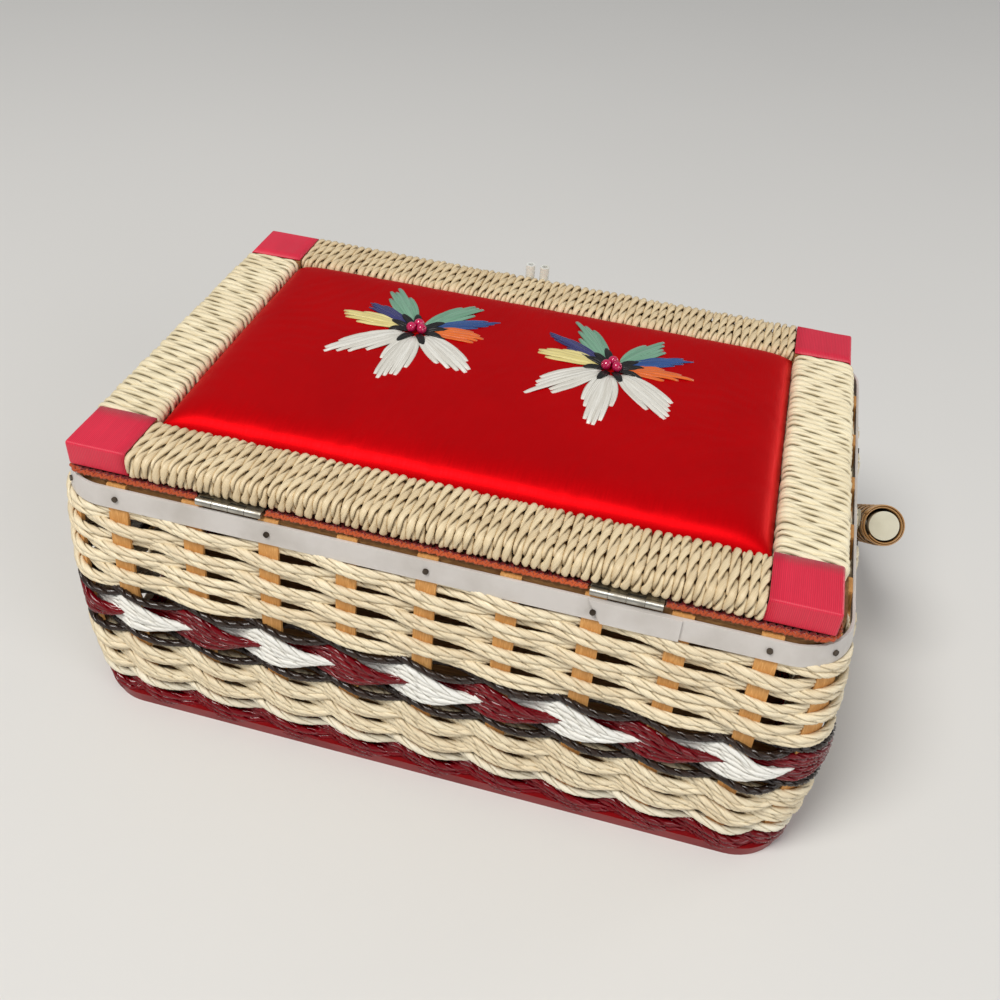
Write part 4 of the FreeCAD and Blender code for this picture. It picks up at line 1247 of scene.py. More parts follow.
@dataclass
class LidFrame(Part):
    """The four rails with their windings, the ribbon corners, the braid and the lining."""

    half_length: float = 140.0 * MM
    half_depth: float = 92.0 * MM
    bottom: float = 123.2 * MM
    thickness: float = 11.2 * MM
    rail_width: float = 24.5 * MM
    long_turns: int = 67
    short_turns: int = 39
    long_lay: float = 19.0 * MM
    short_lay: float = 30.0 * MM
    turn_samples: int = 64
    squareness: float = 8.0
    oval_points: int = 721
    stand_out: float = 1.6 * MM
    fullness: float = 1.08
    wound_cord: Cord = Cord(1.0, 1.0, ply_offset=0.245, ply_depth=0.26, ply_width=0.39)
    looseness: float = 0.008
    loose_rate: float = 2.3
    slip_share: float = 0.05
    slip_rate: float = 1.45
    cross_from: float = 0.56
    cross_share: float = 0.38
    braid_half_width: float = 3.4 * MM
    braid_inset: float = 2.0 * MM
    braid_corner: float = 4.0 * MM
    braid_middle: float = -0.2 * MM
    braid_rise: float = 0.35 * MM
    braid_step: float = 0.45 * MM
    hinge_room: float = 0.8 * MM
    yarns: int = 6
    edge_yarns: int = 2
    braid_wave: float = 5.4 * MM
    braid_reach: float = 2.3 * MM
    edge_wave: float = 3.4 * MM
    edge_reach: float = 0.8 * MM
    yarn_radius: float = 0.7 * MM
    yarn_flatness: float = 0.8
    ribbon_thickness: float = 0.5 * MM
    ribbon_edge: float = 1.3 * MM
    ribbon_inset: float = 0.4 * MM
    ribbon_puff: float = 0.12 * MM
    puff_rates: tuple[float, float] = (5.2, 4.4)
    seed: int = 23

    @property
    def middle(self) -> float:
        """The height of the rails' middle."""
        return self.bottom + self.thickness / 2

    def wind(self, rail: str, along_x: bool, sign: int) -> None:
        """Wind a cord closely round a rail.

        Args:
            rail: the rail's side of the lid.
            along_x: whether the rail lies along X, and not along Y.
            sign: the way in which it stands off the lid's middle, before it is turned to Y.
        """
        name = rail + "_cord"
        chance = chance_for(self.seed, name)
        if along_x:
            half, reach = self.half_length, self.half_depth
            turns, lay, finish = self.long_turns, self.long_lay, RAIL_CORD
        else:
            half, reach = self.half_depth, self.half_length
            turns, lay, finish = self.short_turns, self.short_lay, PALE_CORD
        length = 2 * (half - self.rail_width)
        offset = sign * (reach - self.rail_width / 2 + self.stand_out / 2)
        pitch = length / turns
        cord = replace(self.wound_cord, diameter=self.fullness * pitch, lay=lay)
        across = (self.rail_width + self.stand_out - cord.diameter) / 2
        up = (self.thickness - cord.diameter) / 2
        angle = np.linspace(0, 2 * math.pi, self.oval_points)
        oval = np.column_stack([
            size * np.sign(part) * np.abs(part) ** (2 / self.squareness)
            for size, part in ((across, np.cos(angle)), (up, np.sin(angle)))
        ])
        far = run_lengths(oval)
        step = np.arange(turns * self.turn_samples) / self.turn_samples
        share = step % 1.0
        section = read_along(oval, far, share * far[-1])
        loose = self.looseness * np.sin(self.loose_rate * step + chance.uniform(0, ANY_ANGLE))
        section *= (1 + loose)[:, None]
        slip = self.slip_share * pitch * np.sin(self.slip_rate * step + chance.uniform(0, ANY_ANGLE))
        cross = np.clip((share - self.cross_from) / self.cross_share, 0, 1)
        moved = np.floor(step) + cross * cross * (3 - 2 * cross)
        run = pitch * (moved + 0.5) - length / 2 + slip
        outward = unit(np.column_stack([
            np.sign(part) * np.abs(part / size) ** (self.squareness - 1) / size
            for size, part in zip((across, up), section.T)
        ]))
        line = np.column_stack([run, section[:, 0] + offset, section[:, 1] + self.middle])
        ways = np.column_stack([np.zeros(len(run)), outward])
        if not along_x:
            line = np.column_stack([-line[:, 1], line[:, 0], line[:, 2]])
            ways = np.column_stack([-ways[:, 1], ways[:, 0], ways[:, 2]])
        mesh = StrandMesh(name, PLY)
        cord.lay_along(mesh, line, ways, False, chance)
        settle(mesh.piece(finish), Body.LID, finish.slot, rail + "_winding")

    def cover(self, name: str, sign_x: int, sign_y: int) -> None:
        """Fold a ribbon over one corner of the frame.

        Args:
            name: the CAD node that the ribbon stands for.
            sign_x: the corner's side along X.
            sign_y: the corner's side along Y.
        """
        width = self.rail_width
        low = Vector((self.half_length - width, self.half_depth - width, self.bottom + self.ribbon_inset))
        inner_width = width - self.ribbon_inset
        size = Vector((inner_width, inner_width, self.thickness - 2 * self.ribbon_inset))
        work = bmesh.new()
        bmesh.ops.create_cube(work, size=1.0)
        for vertex in work.verts:
            vertex.co = Vector(low[axis] + (vertex.co[axis] + 0.5) * size[axis] for axis in range(3))
        inner = [face for face in work.faces if face.normal.x < -0.5 or face.normal.y < -0.5]
        bmesh.ops.delete(work, geom=inner, context="FACES_ONLY")
        folded = [edge for edge in work.edges if len(edge.link_faces) == 2]
        bmesh.ops.bevel(work, geom=folded, offset=self.ribbon_edge, segments=4, profile=0.6, affect="EDGES")
        bmesh.ops.subdivide_edges(work, edges=work.edges[:], cuts=3, use_grid_fill=True)
        chance = chance_for(self.seed, name)
        phase = chance.uniform(0, ANY_ANGLE, 3)
        for vertex in work.verts:
            x, y, z = ((vertex.co[axis] - low[axis]) / size[axis] for axis in range(3))
            puff = self.ribbon_puff
            for place, rate, start in zip((x, y), self.puff_rates, phase):
                puff *= math.sin(rate * place + start)
            vertex.co.z += puff if z > 0.5 else 0.0
            vertex.co.x *= sign_x
            vertex.co.y *= sign_y
        if sign_x * sign_y < 0:
            bmesh.ops.reverse_faces(work, faces=work.faces[:])
        piece = new_piece(name + "_ribbon", formed(work, name + "_ribbon"), RIBBON)
        shell = piece.modifiers.new("ribbon_thickness", "SOLIDIFY")
        shell.thickness = self.ribbon_thickness
        shell.offset = -1.0
        settle(piece, Body.LID, "red_ribbon", name)

    def braid(self) -> None:
        """Plait the braid that runs round under the lid's edge, open at the two hinges."""
        half_x = self.half_length - self.braid_inset
        half_y = self.half_depth - self.braid_inset
        ring = WallShape(half_x, half_y, self.braid_corner)
        whole = 4 * (ring.run_long + ring.run_short) + 2 * math.pi * ring.corner_radius
        left_low, left_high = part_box("lid_hinge_leaf_left")
        right_low, right_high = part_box("lid_hinge_leaf_right")
        room = self.hinge_room
        runs = (
            (right_high.x + room, whole + left_low.x - room),
            (whole + left_high.x + room, whole + right_low.x - room),
        )
        low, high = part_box("lid_braid")
        level = (low.z + high.z) / 2
        mesh = StrandMesh("lid_braid_yarns", YARN)
        chance = np.random.default_rng(self.seed)
        for start, end in runs:
            far = np.arange(start, end, self.braid_step)
            place, outward = ring.outline(far % whole)
            for yarn in range(self.yarns):
                hand = 1 if yarn % 2 else -1
                on_edge = yarn < self.edge_yarns
                wave, reach, middle = self.braid_wave, self.braid_reach, self.braid_middle
                if on_edge:
                    wave, reach = self.edge_wave, self.edge_reach
                    middle = self.braid_half_width - reach
                turn = hand * 2 * math.pi * far / wave + math.pi * (yarn // 2)
                swing = middle + reach * np.sin(turn)
                rise = self.braid_rise * np.sin(2 * turn + hand)
                flat = place + outward * swing[:, None]
                line = np.column_stack([flat, level + rise])
                way = headings(line, False)
                side = square_to(way, np.column_stack([outward, np.zeros(len(far))]))
                up = np.cross(way, side)
                size = np.full(len(far), self.yarn_radius)
                flat_size = self.yarn_flatness * size
                mesh.add(line, side, up, size, flat_size, False, chance.uniform(0, 1), int(not on_edge))
        settle(mesh.piece(ORANGE_YARN, RED_YARN), Body.LID, "orange_braid", "lid_braid")

    def build(self) -> None:
        """Wind the rails, fold the ribbons and plait the braid."""
        for rail, along_x, sign in RAILS:
            self.wind(rail, along_x, sign)
        for name_y, sign_y in (("front", 1), ("back", -1)):
            for name_x, sign_x in (("right", 1), ("left", -1)):
                self.cover(name_y + "_" + name_x + "_cover", sign_x, sign_y)
        self.braid()

    def dress(self) -> None:
        """Finish the wooden rails and the boards."""
        dress(RAIL_WOOD, "front_rail", "back_rail", "right_rail", "left_rail")
        dress(LINING, "lid_lining")
        dress(BOARD_WOOD, "pad_board")


@dataclass(frozen=True)
class Petal:
    """One petal of flat stitches: its direction in degrees, length, width, colour and stitches."""

    way: float
    length: float
    width: float
    colour: Raffia
    stitches: int


PETALS = (
    Petal(4, 34 * MM, 8.5 * MM, Raffia.ORANGE, 5),
    Petal(29, 38 * MM, 6.5 * MM, Raffia.BLUE, 7),
    Petal(54, 38 * MM, 9.0 * MM, Raffia.GREEN, 5),
    Petal(124, 41 * MM, 9.5 * MM, Raffia.GREEN, 5),
    Petal(151, 37 * MM, 6.5 * MM, Raffia.PURPLE, 7),
    Petal(176, 39 * MM, 9.0 * MM, Raffia.YELLOW, 5),
    Petal(225, 46 * MM, 12.0 * MM, Raffia.WHITE, 6),
    Petal(268, 46 * MM, 12.5 * MM, Raffia.WHITE, 7),
    Petal(317, 45 * MM, 12.5 * MM, Raffia.WHITE, 6),
)
DARK_STITCHES = (12, 38, 108, 140, 165, 200, 250, 297, 340)


@dataclass
class SatinPad(Part):
    """The satin pad in the frame, with two stitched flowers and their beads."""

    half_length: float = 115.3 * MM
    half_depth: float = 67.2 * MM
    foot: float = 126.4 * MM
    edge_height: float = 129.6 * MM
    shoulder_height: float = 4.0 * MM
    shoulder_width: float = 20.0 * MM
    tuck_height: float = 3.0 * MM
    tuck_width: float = 1.8 * MM
    crown: float = 2.0 * MM
    cell: float = 2.0 * MM
    dimple: float = 0.9 * MM
    dimple_radius: float = 8.0 * MM
    cloth_frames: int = 18
    slack: float = 0.002
    filling_hold: float = 0.25
    flower_places: tuple = ((-42.0 * MM, 21.0 * MM), (42.0 * MM, 21.0 * MM))
    stitch_thickness: float = 0.35 * MM
    stitch_points: int = 12
    stitch_sink: float = 0.15 * MM
    stitch_overlap: float = 1.45
    petal_start: float = 5.0 * MM
    petal_start_play: float = 2.0 * MM
    petal_foot: float = 0.16
    petal_tip: float = 0.46
    petal_bend: float = 0.1
    petal_rounding: float = 0.24
    petal_raggedness: float = 0.2
    dark_start: float = 3.0 * MM
    dark_reach: float = 11.5 * MM
    dark_reach_play: float = 3.0 * MM
    dark_turn_play: float = 4.0
    dark_width: float = 1.9 * MM
    dark_lift: float = 0.95 * MM
    bead_radius: float = 2.2 * MM
    bead_ring: float = 2.66 * MM
    bead_tilt: float = 62.0
    bead_bore: float = 0.22
    bead_flatness: float = 0.9
    seed: int = 37
    surface: Optional[BVHTree] = None

    def height(self, x: np.ndarray, y: np.ndarray) -> np.ndarray:
        """The pad's height at each place, before the cloth settles.

        Args:
            x: the places along X.
            y: the places along Y.

        Returns:
            The heights.
        """
        roll = 1.0
        tuck = 1.0
        dome = 1.0
        for place, half in ((x, self.half_length), (y, self.half_depth)):
            inset = half - np.abs(place)
            roll = roll * (1 - (1 - np.clip(inset / self.shoulder_width, 0, 1)) ** 3)
            tuck = tuck * (1 - np.exp(-inset / self.tuck_width))
            dome = dome * (1 - (place / half) ** 2)
        dip = 0.0
        for place_x, place_y in self.flower_places:
            away = ((x - place_x) ** 2 + (y - place_y) ** 2) / self.dimple_radius ** 2
            dip = dip + self.dimple * np.exp(-away)
        rise = self.shoulder_height * roll + self.tuck_height * tuck + self.crown * dome ** 0.7
        return self.edge_height + rise - dip

    def build_pad(self) -> None:
        """Make the pad's closed form and let its cloth settle."""
        count_x = round(2 * self.half_length / self.cell) + 1
        count_y = round(2 * self.half_depth / self.cell) + 1
        x, y = np.meshgrid(
            np.linspace(-self.half_length, self.half_length, count_x),
            np.linspace(-self.half_depth, self.half_depth, count_y),
        )
        top = np.column_stack([x.ravel(), y.ravel(), self.height(x, y).ravel()])
        number = np.arange(count_x * count_y).reshape(count_y, count_x)
        faces = np.stack([
            number[:-1, :-1], number[:-1, 1:], number[1:, 1:], number[1:, :-1]
        ], axis=2).reshape(-1, 4).tolist()
        edge = np.concatenate([
            number[0, :-1], number[:-1, -1], number[-1, :0:-1], number[:0:-1, 0]
        ])
        under = top[edge] * (1, 1, 0) + (0, 0, self.foot)
        below = len(top) + np.arange(len(edge))
        after = np.roll(np.arange(len(edge)), -1)
        faces += np.stack([edge[after], edge, below, below[after]], axis=1).tolist()
        faces.append(below[::-1].tolist())
        mesh = bpy.data.meshes.new("satin_cushion")
        mesh.from_pydata(np.concatenate([top, under]).tolist(), [], faces)
        mesh.shade_smooth()
        piece = new_piece("satin_cushion", mesh, SATIN)
        held = np.full(len(top) + len(under), 1.0)
        held[number[1:-1, 1:-1].ravel()] = self.filling_hold
        for place_x, place_y in self.flower_places:
            near = np.hypot(top[:, 0] - place_x, top[:, 1] - place_y) < self.dimple_radius / 2
            held[:len(top)][near] = 1.0
        self.settle_cloth(piece, held)
        self.surface = BVHTree.FromPolygons(
            [vertex.co.copy() for vertex in piece.data.vertices],
            [tuple(face.vertices) for face in piece.data.polygons],
        )
        settle(piece, Body.LID, "red_satin", "satin_pad")

    def settle_cloth(self, piece: bpy.types.Object, held: np.ndarray) -> None:
        """Let the satin settle over its filling as a cloth, held at its edge and under the flowers' middles.

        Args:
            piece: the pad in its first form.
            held: how firmly each point is held, from 0 to 1; the filling holds the rest of the cloth softly.
        """
        group = piece.vertex_groups.new(name="held")
        for level in np.unique(held):
            group.add(np.flatnonzero(held == level).tolist(), float(level), "REPLACE")
        cloth = piece.modifiers.new("satin_cloth", "CLOTH")
        cloth.settings.quality = 5
        cloth.settings.mass = 0.05
        cloth.settings.tension_stiffness = 20.0
        cloth.settings.compression_stiffness = 20.0
        cloth.settings.shear_stiffness = 8.0
        cloth.settings.bending_stiffness = 5.0
        cloth.settings.shrink_min = -self.slack
        cloth.settings.vertex_group_mass = group.name
        cloth.settings.effector_weights.gravity = 0.0
        cloth.point_cache.frame_end = self.cloth_frames
        scene = bpy.context.scene
        for step in range(1, self.cloth_frames + 1):
            scene.frame_set(step)
        moved = piece.evaluated_get(bpy.context.evaluated_depsgraph_get())
        settled = bpy.data.meshes.new_from_object(moved)
        piece.modifiers.clear()
        piece.vertex_groups.clear()
        piece.data = settled
        scene.frame_set(1)

    def rest_on(self, x: float, y: float) -> float:
        """The height of the finished pad at a place."""
        above, down = Vector((x, y, 0.5)), Vector((0, 0, -1))
        return self.surface.ray_cast(above, down)[0].z

    def stitch(self, mesh: StrandMesh, start: Vector, end: Vector, width: float, lift: float, bend: float,
               tint: float, slot: int) -> None:
        """Lay one flat stitch on the pad.

        Args:
            mesh: the mesh that takes it.
            start: where it comes up, as X and Y.
            end: where it goes down, as X and Y.
            width: how wide it is.
            lift: how far it lies above the pad.
            bend: how far its middle is drawn sideways.
            tint: how dark it is.
            slot: the number of its material.
        """
        share = np.linspace(0, 1, self.stitch_points)
        way = (end - start).normalized()
        side = Vector((-way.y, way.x))
        flat = [start.lerp(end, s) + side * (bend * math.sin(math.pi * s)) for s in share]
        bow = np.sin(math.pi * share) ** 0.5
        line = np.array([
            (spot.x, spot.y, self.rest_on(spot.x, spot.y) + lift * rise - self.stitch_sink * (1 - rise))
            for spot, rise in zip(flat, bow)
        ])
        heading = headings(line, False)
        across = unit(np.cross(np.array([[0.0, 0.0, 1.0]]), heading))
        up = np.cross(heading, across)
        taper = 0.3 + 0.7 * np.sin(math.pi * np.clip(share * 0.94 + 0.03, 0, 1)) ** 0.35
        thick = np.full(self.stitch_points, self.stitch_thickness)
        mesh.add(line, across, up, width / 2 * taper, thick, False, tint, slot)

    def build_flower(self, name: str, node: str, place: tuple[float, float]) -> None:
        """Stitch one flower.

        Args:
            name: the piece's name.
            node: the CAD node that it stands for.
            place: the flower's middle, as X and Y.
        """
        chance = chance_for(self.seed, name)
        colours = list(Raffia)
        mesh = StrandMesh(name)
        centre = Vector(place)
        for petal in PETALS:
            way = math.radians(petal.way)
            out = Vector((math.cos(way), math.sin(way)))
            side = Vector((-out.y, out.x))
            half = (petal.stitches - 1) / 2
            order = sorted(range(petal.stitches), key=lambda index: -abs(index - half))
            for index in order:
                share = (index - half) / half
                shorter = self.petal_rounding * abs(share) ** 1.5
                reach = petal.length * (1 - shorter - self.petal_raggedness * chance.uniform(0, 1))
                start = self.petal_start + self.petal_start_play * chance.uniform(0, 1)
                begin = centre + out * start + side * (self.petal_foot * petal.width * share)
                finish = centre + out * reach + side * (self.petal_tip * petal.width * share)
                width = self.stitch_overlap * petal.width / petal.stitches
                lift = (0.3 + 0.3 * (1 - abs(share)) + 0.2 * chance.uniform(0, 1)) * MM
                bend = self.petal_bend * petal.width * share
                slot = colours.index(petal.colour)
                self.stitch(mesh, begin, finish, width, lift, bend, chance.uniform(0, 1), slot)
        for way in DARK_STITCHES:
            turn = math.radians(way + chance.uniform(-self.dark_turn_play, self.dark_turn_play))
            ray = Vector((math.cos(turn), math.sin(turn)))
            side = Vector((-ray.y, ray.x))
            for beside in (-0.5 * MM, 0.5 * MM):
                begin = centre + ray * self.dark_start + side * beside
                finish = centre + ray * (self.dark_reach + self.dark_reach_play * chance.uniform(0, 1))
                tint = chance.uniform(0, 1)
                self.stitch(mesh, begin, finish, self.dark_width, self.dark_lift, beside, tint, len(colours))
        finishes = [colour.finish() for colour in colours] + [STITCH_BLACK]
        settle(mesh.piece(*finishes), Body.LID, "raffia", node)

    def build_beads(self) -> None:
        """Thread three beads on each flower's middle."""
        work = bmesh.new()
        for place_x, place_y in self.flower_places:
            for bead in range(3):
                turn = math.radians(90 + 120 * bead)
                x = place_x + self.bead_ring * math.cos(turn)
                y = place_y + self.bead_ring * math.sin(turn)
                level = self.rest_on(x, y) + self.bead_radius
                tilt = Matrix.Rotation(turn, 4, "Z") @ Matrix.Rotation(math.radians(self.bead_tilt), 4, "Y")
                self.add_bead(work, Matrix.Translation((x, y, level)) @ tilt)
        piece = new_piece("flower_bead_threes", formed(work, "flower_bead_threes"), BEAD_GLASS)
        settle(piece, Body.LID, "pink_bead", "flower_beads")

    def add_bead(self, work: bmesh.types.BMesh, place: Matrix) -> None:
        """Turn one drilled bead and put it in its place.

        Args:
            work: the form that takes the bead.
            place: where it goes and how it is turned.
        """
        steps, sides = 14, 24
        low = math.asin(self.bead_bore) - math.pi / 2
        rows = []
        for step in range(steps + 1):
            turn = low - 2 * low * step / steps
            level = self.bead_flatness * self.bead_radius * math.sin(turn)
            rows.append((self.bead_radius * math.cos(turn), level))
        rows.append((0.8 * self.bead_bore * self.bead_radius, 0.0))
        turns = np.arange(sides) * (2 * math.pi / sides)
        circle = list(zip(np.cos(turns), np.sin(turns)))
        loops = [
            [work.verts.new(place @ Vector((radius * x, radius * y, level))) for x, y in circle]
            for radius, level in rows
        ]
        for index, loop in enumerate(loops):
            after = loops[(index + 1) % len(loops)]
            for side in range(sides):
                beside = (side + 1) % sides
                work.faces.new((loop[side], loop[beside], after[beside], after[side]))

    def build(self) -> None:
        """Make the pad, then sew on the flowers and beads."""
        self.build_pad()
        for side, place in zip(("left", "right"), self.flower_places):
            self.build_flower(side + "_raffia_flower", side + "_flower", place)
        self.build_beads()


# Handle, hinges and closure


@dataclass
class Handle(Part):
    """The swing handle: a pale core wound with flat cane."""

    arm_x: float = 163.6 * MM
    pivot_height: float = 91.0 * MM
    pivot_forward: float = 15.0 * MM
    drop: float = 81.8 * MM
    forward: float = 104.1 * MM
    bend_radius: float = 32.0 * MM
    end_length: float = 8.0 * MM
    core_radius: float = 6.1 * MM
    outer_radius: float = 9.0 * MM
    strip_width: float = 15.0 * MM
    strip_step: float = 11.0 * MM
    strip_thickness: float = 0.9 * MM
    strip_samples: int = 26
    strip_tint: float = 0.4
    under_edge: float = 1.5 * MM
    over_edge: float = 0.5 * MM
    collar_turns: float = 1.8
    collar_slack: float = 0.3 * MM
    collar_width: float = 9.0 * MM
    collar_samples: int = 40
    collar_tint: float = 0.15
    collar_starts: tuple[float, float] = (0.6, 2.4)

    @property
    def slope(self) -> float:
        """How far below level the arms lie at rest, in radians."""
        return math.atan2(self.drop, self.forward)

    def route(self) -> np.ndarray:
        """The middle of the rod from its left end round to its right end, lying down at rest."""
        tip = math.hypot(self.drop, self.forward)
        bend = self.bend_radius
        arms = np.linspace(-self.end_length, tip - bend, 160)
        turn = np.linspace(0, math.pi / 2, 44)[1:-1]
        bar = np.linspace(-self.arm_x + bend, self.arm_x - bend, 240)
        left = np.column_stack([np.full(len(arms), -self.arm_x), arms])
        bend_left = np.column_stack([
            -self.arm_x + bend - bend * np.cos(turn), tip - bend + bend * np.sin(turn)
        ])
        across = np.column_stack([bar, np.full(len(bar), tip)])
        flat = np.concatenate([left, bend_left, across, bend_left[::-1] * (-1, 1), left[::-1] * (-1, 1)])
        return np.column_stack([
            flat[:, 0],
            self.pivot_forward + flat[:, 1] * math.cos(self.slope),
            self.pivot_height - flat[:, 1] * math.sin(self.slope),
        ])

    def ribbon(self, mesh: StrandMesh, route: np.ndarray, far: np.ndarray, turn: np.ndarray, low: np.ndarray,
               high: np.ndarray, width: float, tint: float) -> None:
        """Wind a flat strip round the rod.

        Args:
            mesh: the mesh that takes it.
            route: the rod's middle.
            far: how far along the rod the strip's middle is, at each step.
            turn: how far round it is, at each step.
            low: the radius under the strip's covered edge, at each step.
            high: the radius under its free edge, at each step.
            width: the strip's width.
            tint: how dark it is.
        """
        lengths = run_lengths(route)
        upright = np.array([0.0, math.sin(self.slope), math.cos(self.slope)])
        edges = []
        for share, radius in ((-0.5, low), (0.5, high)):
            spot = np.clip(far + share * width, 0.0, lengths[-1])
            ahead = read_along(route, lengths, spot + 1 * MM) - read_along(route, lengths, spot - 1 * MM)
            beside = unit(np.cross(unit(ahead), upright[None, :]))
            out = np.cos(turn)[:, None] * upright + np.sin(turn)[:, None] * beside
            edges.append(read_along(route, lengths, spot) + out * radius[:, None])
        line = (edges[0] + edges[1]) / 2
        side = edges[1] - edges[0]
        half = np.linalg.norm(side, axis=1) / 2
        side = unit(side)
        thick = np.full(len(line), self.strip_thickness / 2)
        mesh.add(line, side, square_to(side, out), half, thick, False, tint)

    def build(self) -> None:
        """Wind the cane from end to end, then the collars over both ends."""
        route = self.route()
        whole = run_lengths(route)[-1]
        mesh = StrandMesh("handle_cane")
        turns = (whole - self.strip_width) / self.strip_step
        count = int(turns * self.strip_samples)
        share = np.linspace(0, 1, count)
        far = self.strip_width / 2 + share * (whole - self.strip_width)
        low = np.full(count, self.outer_radius - self.under_edge)
        high = np.full(count, self.outer_radius - self.over_edge)
        turn = 2 * math.pi * turns * share
        self.ribbon(mesh, route, far, turn, low, high, self.strip_width, self.strip_tint)
        steps = int(self.collar_turns * self.collar_samples)
        share = np.linspace(0, 1, steps)
        inner = self.core_radius + self.strip_thickness
        outer = self.outer_radius - self.over_edge
        places = (self.collar_width / 2, whole - self.collar_width / 2)
        for place, start in zip(places, self.collar_starts):
            turn = start + 2 * math.pi * self.collar_turns * share
            radius = inner + (outer - inner) * share + self.collar_slack * np.sin(2 * turn) * (1 - share)
            far = np.full(steps, place)
            self.ribbon(mesh, route, far, turn, radius, radius, self.collar_width, self.collar_tint)
        settle(mesh.piece(CANE), Body.HANDLE, "tan_cane", "handle_wrap")

    def dress(self) -> None:
        """Finish the core, the bolts and the spacers."""
        dress(CORE_PLASTIC, "handle_core", "handle_spacer_left", "handle_spacer_right")
        dress(STEEL, "handle_bolt_left", "handle_bolt_right", "handle_washers", "handle_nuts")


@dataclass
class Closure(Part):
    """The vinyl loop on the lid's front, its nailed tails, and the peg.

    The half route goes from one tail to the loop's lowest point, as X and Z in millimetres from the pivot.
    """

    pivot: Vector = field(default_factory=lambda: Vector((-6.8, 94.5, 126.0)) * MM)
    rest_angle: float = 45.0
    tube_radius: float = 2.2 * MM
    half_route: tuple = ((3.4, 0.6), (4.6, -6.0), (8.6, -14.5), (11.2, -24.0), (7.4, -32.6), (0.0, -34.0))

    def build(self) -> None:
        """Bend the loop as one smooth tube."""
        curve = bpy.data.curves.new("vinyl_loop", "CURVE")
        curve.dimensions = "3D"
        curve.bevel_depth = self.tube_radius
        curve.bevel_resolution = 5
        curve.resolution_u = 10
        curve.use_fill_caps = True
        spline = curve.splines.new("NURBS")
        route = list(self.half_route) + [(-x, z) for x, z in reversed(self.half_route[:-1])]
        turn = Matrix.Rotation(math.radians(self.rest_angle), 3, "X")
        spline.points.add(len(route) - 1)
        for point, (x, z) in zip(spline.points, route):
            point.co = (*(turn @ (Vector((x, 0, z)) * MM) + self.pivot), 1.0)
        spline.order_u = 4
        spline.use_endpoint_u = True
        settle(new_piece("vinyl_loop", curve, VINYL), Body.LOOP, "white_vinyl", "closure_loop")

    def dress(self) -> None:
        """Finish the tails, the nails and the peg."""
        dress(VINYL, "loop_tails")
        dress(CORE_PLASTIC, "closure_peg")
        dress(STEEL, "loop_nails", "peg_screw")


@dataclass
class Hinges(Part):
    """The two butt hinges."""

    def dress(self) -> None:
        """Finish the leaves, pins and screws."""
        for side in ("left", "right"):
            dress(STEEL, "hinge_leaf_" + side, "lid_hinge_leaf_" + side, "hinge_pin_" + side)
        dress(STEEL, "hinge_screws", "lid_hinge_screws")


# Studio


@dataclass(frozen=True)
class FloorFinish(Finish):
    """A plain pale floor with a very faint unevenness."""

    colour: Colour

    def surface(self, graph: Graph) -> dict:
        """A faint change of tone.

        Args:
            graph: the material's graph.

        Returns:
            The shader's inputs, by name.
        """
        tone = graph.noise(graph.here(), 3.0, 2.0)
        darker = tuple(0.96 * value for value in self.colour[:3]) + (1.0,)
        return {"Base Color": graph.mix(tone, self.colour, darker), "Roughness": 0.9}


@dataclass(frozen=True)
class Lamp:
    """A round soft lamp that points at the box: its place, width in metres, power in watts and colour."""

    name: str
    place: tuple[float, float, float]
    width: float
    power: float
    colour: tuple[float, float, float]

    def hang(self, target: Vector) -> None:
        """Hang the lamp so that it points at the target, unseen by the camera.

        Args:
            target: the point that it lights.
        """
        light = bpy.data.lights.new(self.name, "AREA")
        light.shape = "DISK"
        light.size = self.width
        light.energy = self.power
        light.color = self.colour
        lamp = new_object(self.name, light)
        lamp.location = self.place
        lamp.visible_camera = False
        aim = target - Vector(self.place)
        lamp.rotation_euler = aim.to_track_quat("-Z", "Y").to_euler()


WARM_LIGHT = (1.0, 0.98, 0.95)
COOL_LIGHT = (0.95, 0.97, 1.0)
LAMPS = (
    Lamp("key_lamp", (-0.55, -1.0, 2.0), 0.9, 38.0, WARM_LIGHT),
    Lamp("fill_lamp", (1.4, -0.9, 0.9), 1.2, 9.0, COOL_LIGHT),
    Lamp("front_lamp", (1.6, 1.3, 0.45), 0.8, 6.0, WARM_LIGHT),
)


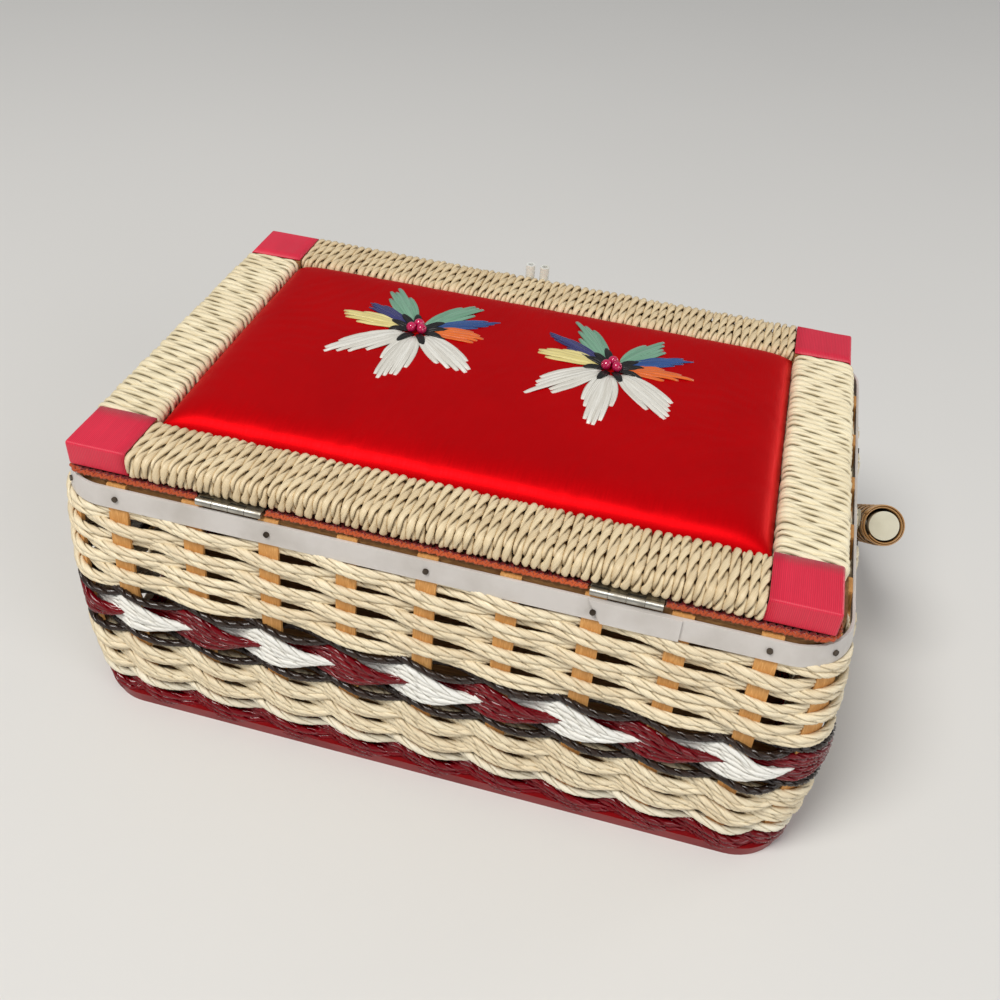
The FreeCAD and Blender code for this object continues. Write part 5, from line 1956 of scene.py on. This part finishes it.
@dataclass
class Studio:
    """The floor, the light and the camera."""

    camera_place: tuple = (0.08072, -0.35980, 0.37848)
    azimuth: float = 12.032
    elevation: float = 39.703
    roll: float = 4.522
    lens: float = 39.018
    sensor: float = 36.0
    floor_half: float = 4.0
    sky_colour: Colour = (0.93, 0.96, 1.0, 1.0)
    sky_strength: float = 0.3
    lamp_target: tuple[float, float, float] = (0.0, 0.0, 0.08)

    def build_floor(self) -> None:
        """Lay the floor."""
        half = self.floor_half
        mesh = bpy.data.meshes.new("floor")
        mesh.from_pydata(
            [(-half, -half, 0), (half, -half, 0), (half, half, 0), (-half, half, 0)], [], [(0, 1, 2, 3)]
        )
        floor = new_piece("floor", mesh, FloorFinish("pale_floor", shade(222, 220, 216)))

    def build_light(self) -> None:
        """Hang the lamps and set the sky."""
        world = bpy.data.worlds.new("studio_sky")
        bpy.context.scene.world = world
        world.use_nodes = True
        sky = world.node_tree.nodes["Background"]
        sky.inputs["Color"].default_value = self.sky_colour
        sky.inputs["Strength"].default_value = self.sky_strength
        for lamp in LAMPS:
            lamp.hang(Vector(self.lamp_target))

    def build_camera(self) -> None:
        """Stand the camera where the photograph was taken from."""
        data = bpy.data.cameras.new("camera")
        data.lens = self.lens
        data.sensor_width = self.sensor
        data.clip_start = 0.01
        camera = new_object("camera", data)
        turn = math.radians(self.azimuth)
        rise = math.radians(self.elevation)
        flat = math.cos(rise)
        back = Vector((math.sin(turn) * flat, -math.cos(turn) * flat, math.sin(rise)))
        level = Vector((math.cos(turn), math.sin(turn), 0))
        upright = back.cross(level)
        lean = math.radians(self.roll)
        right = level * math.cos(lean) + upright * math.sin(lean)
        up = back.cross(right)
        axes = Matrix((right, up, back)).transposed()
        camera.matrix_world = Matrix.Translation(self.camera_place) @ axes.to_4x4()
        bpy.context.scene.camera = camera

    def build(self) -> None:
        """Set up the whole studio."""
        self.build_floor()
        self.build_light()
        self.build_camera()
        bpy.context.scene.view_settings.view_transform = "Standard"


def main() -> None:
    """Build every sub-assembly in order."""
    logging.basicConfig(level=logging.INFO, format="%(message)s")
    Studio().build()
    for part in (BasketWall(), Rim(), LidFrame(), SatinPad(), Handle(), Closure(), Hinges()):
        part.build()
        part.dress()


if __name__ == "__main__":
    main()
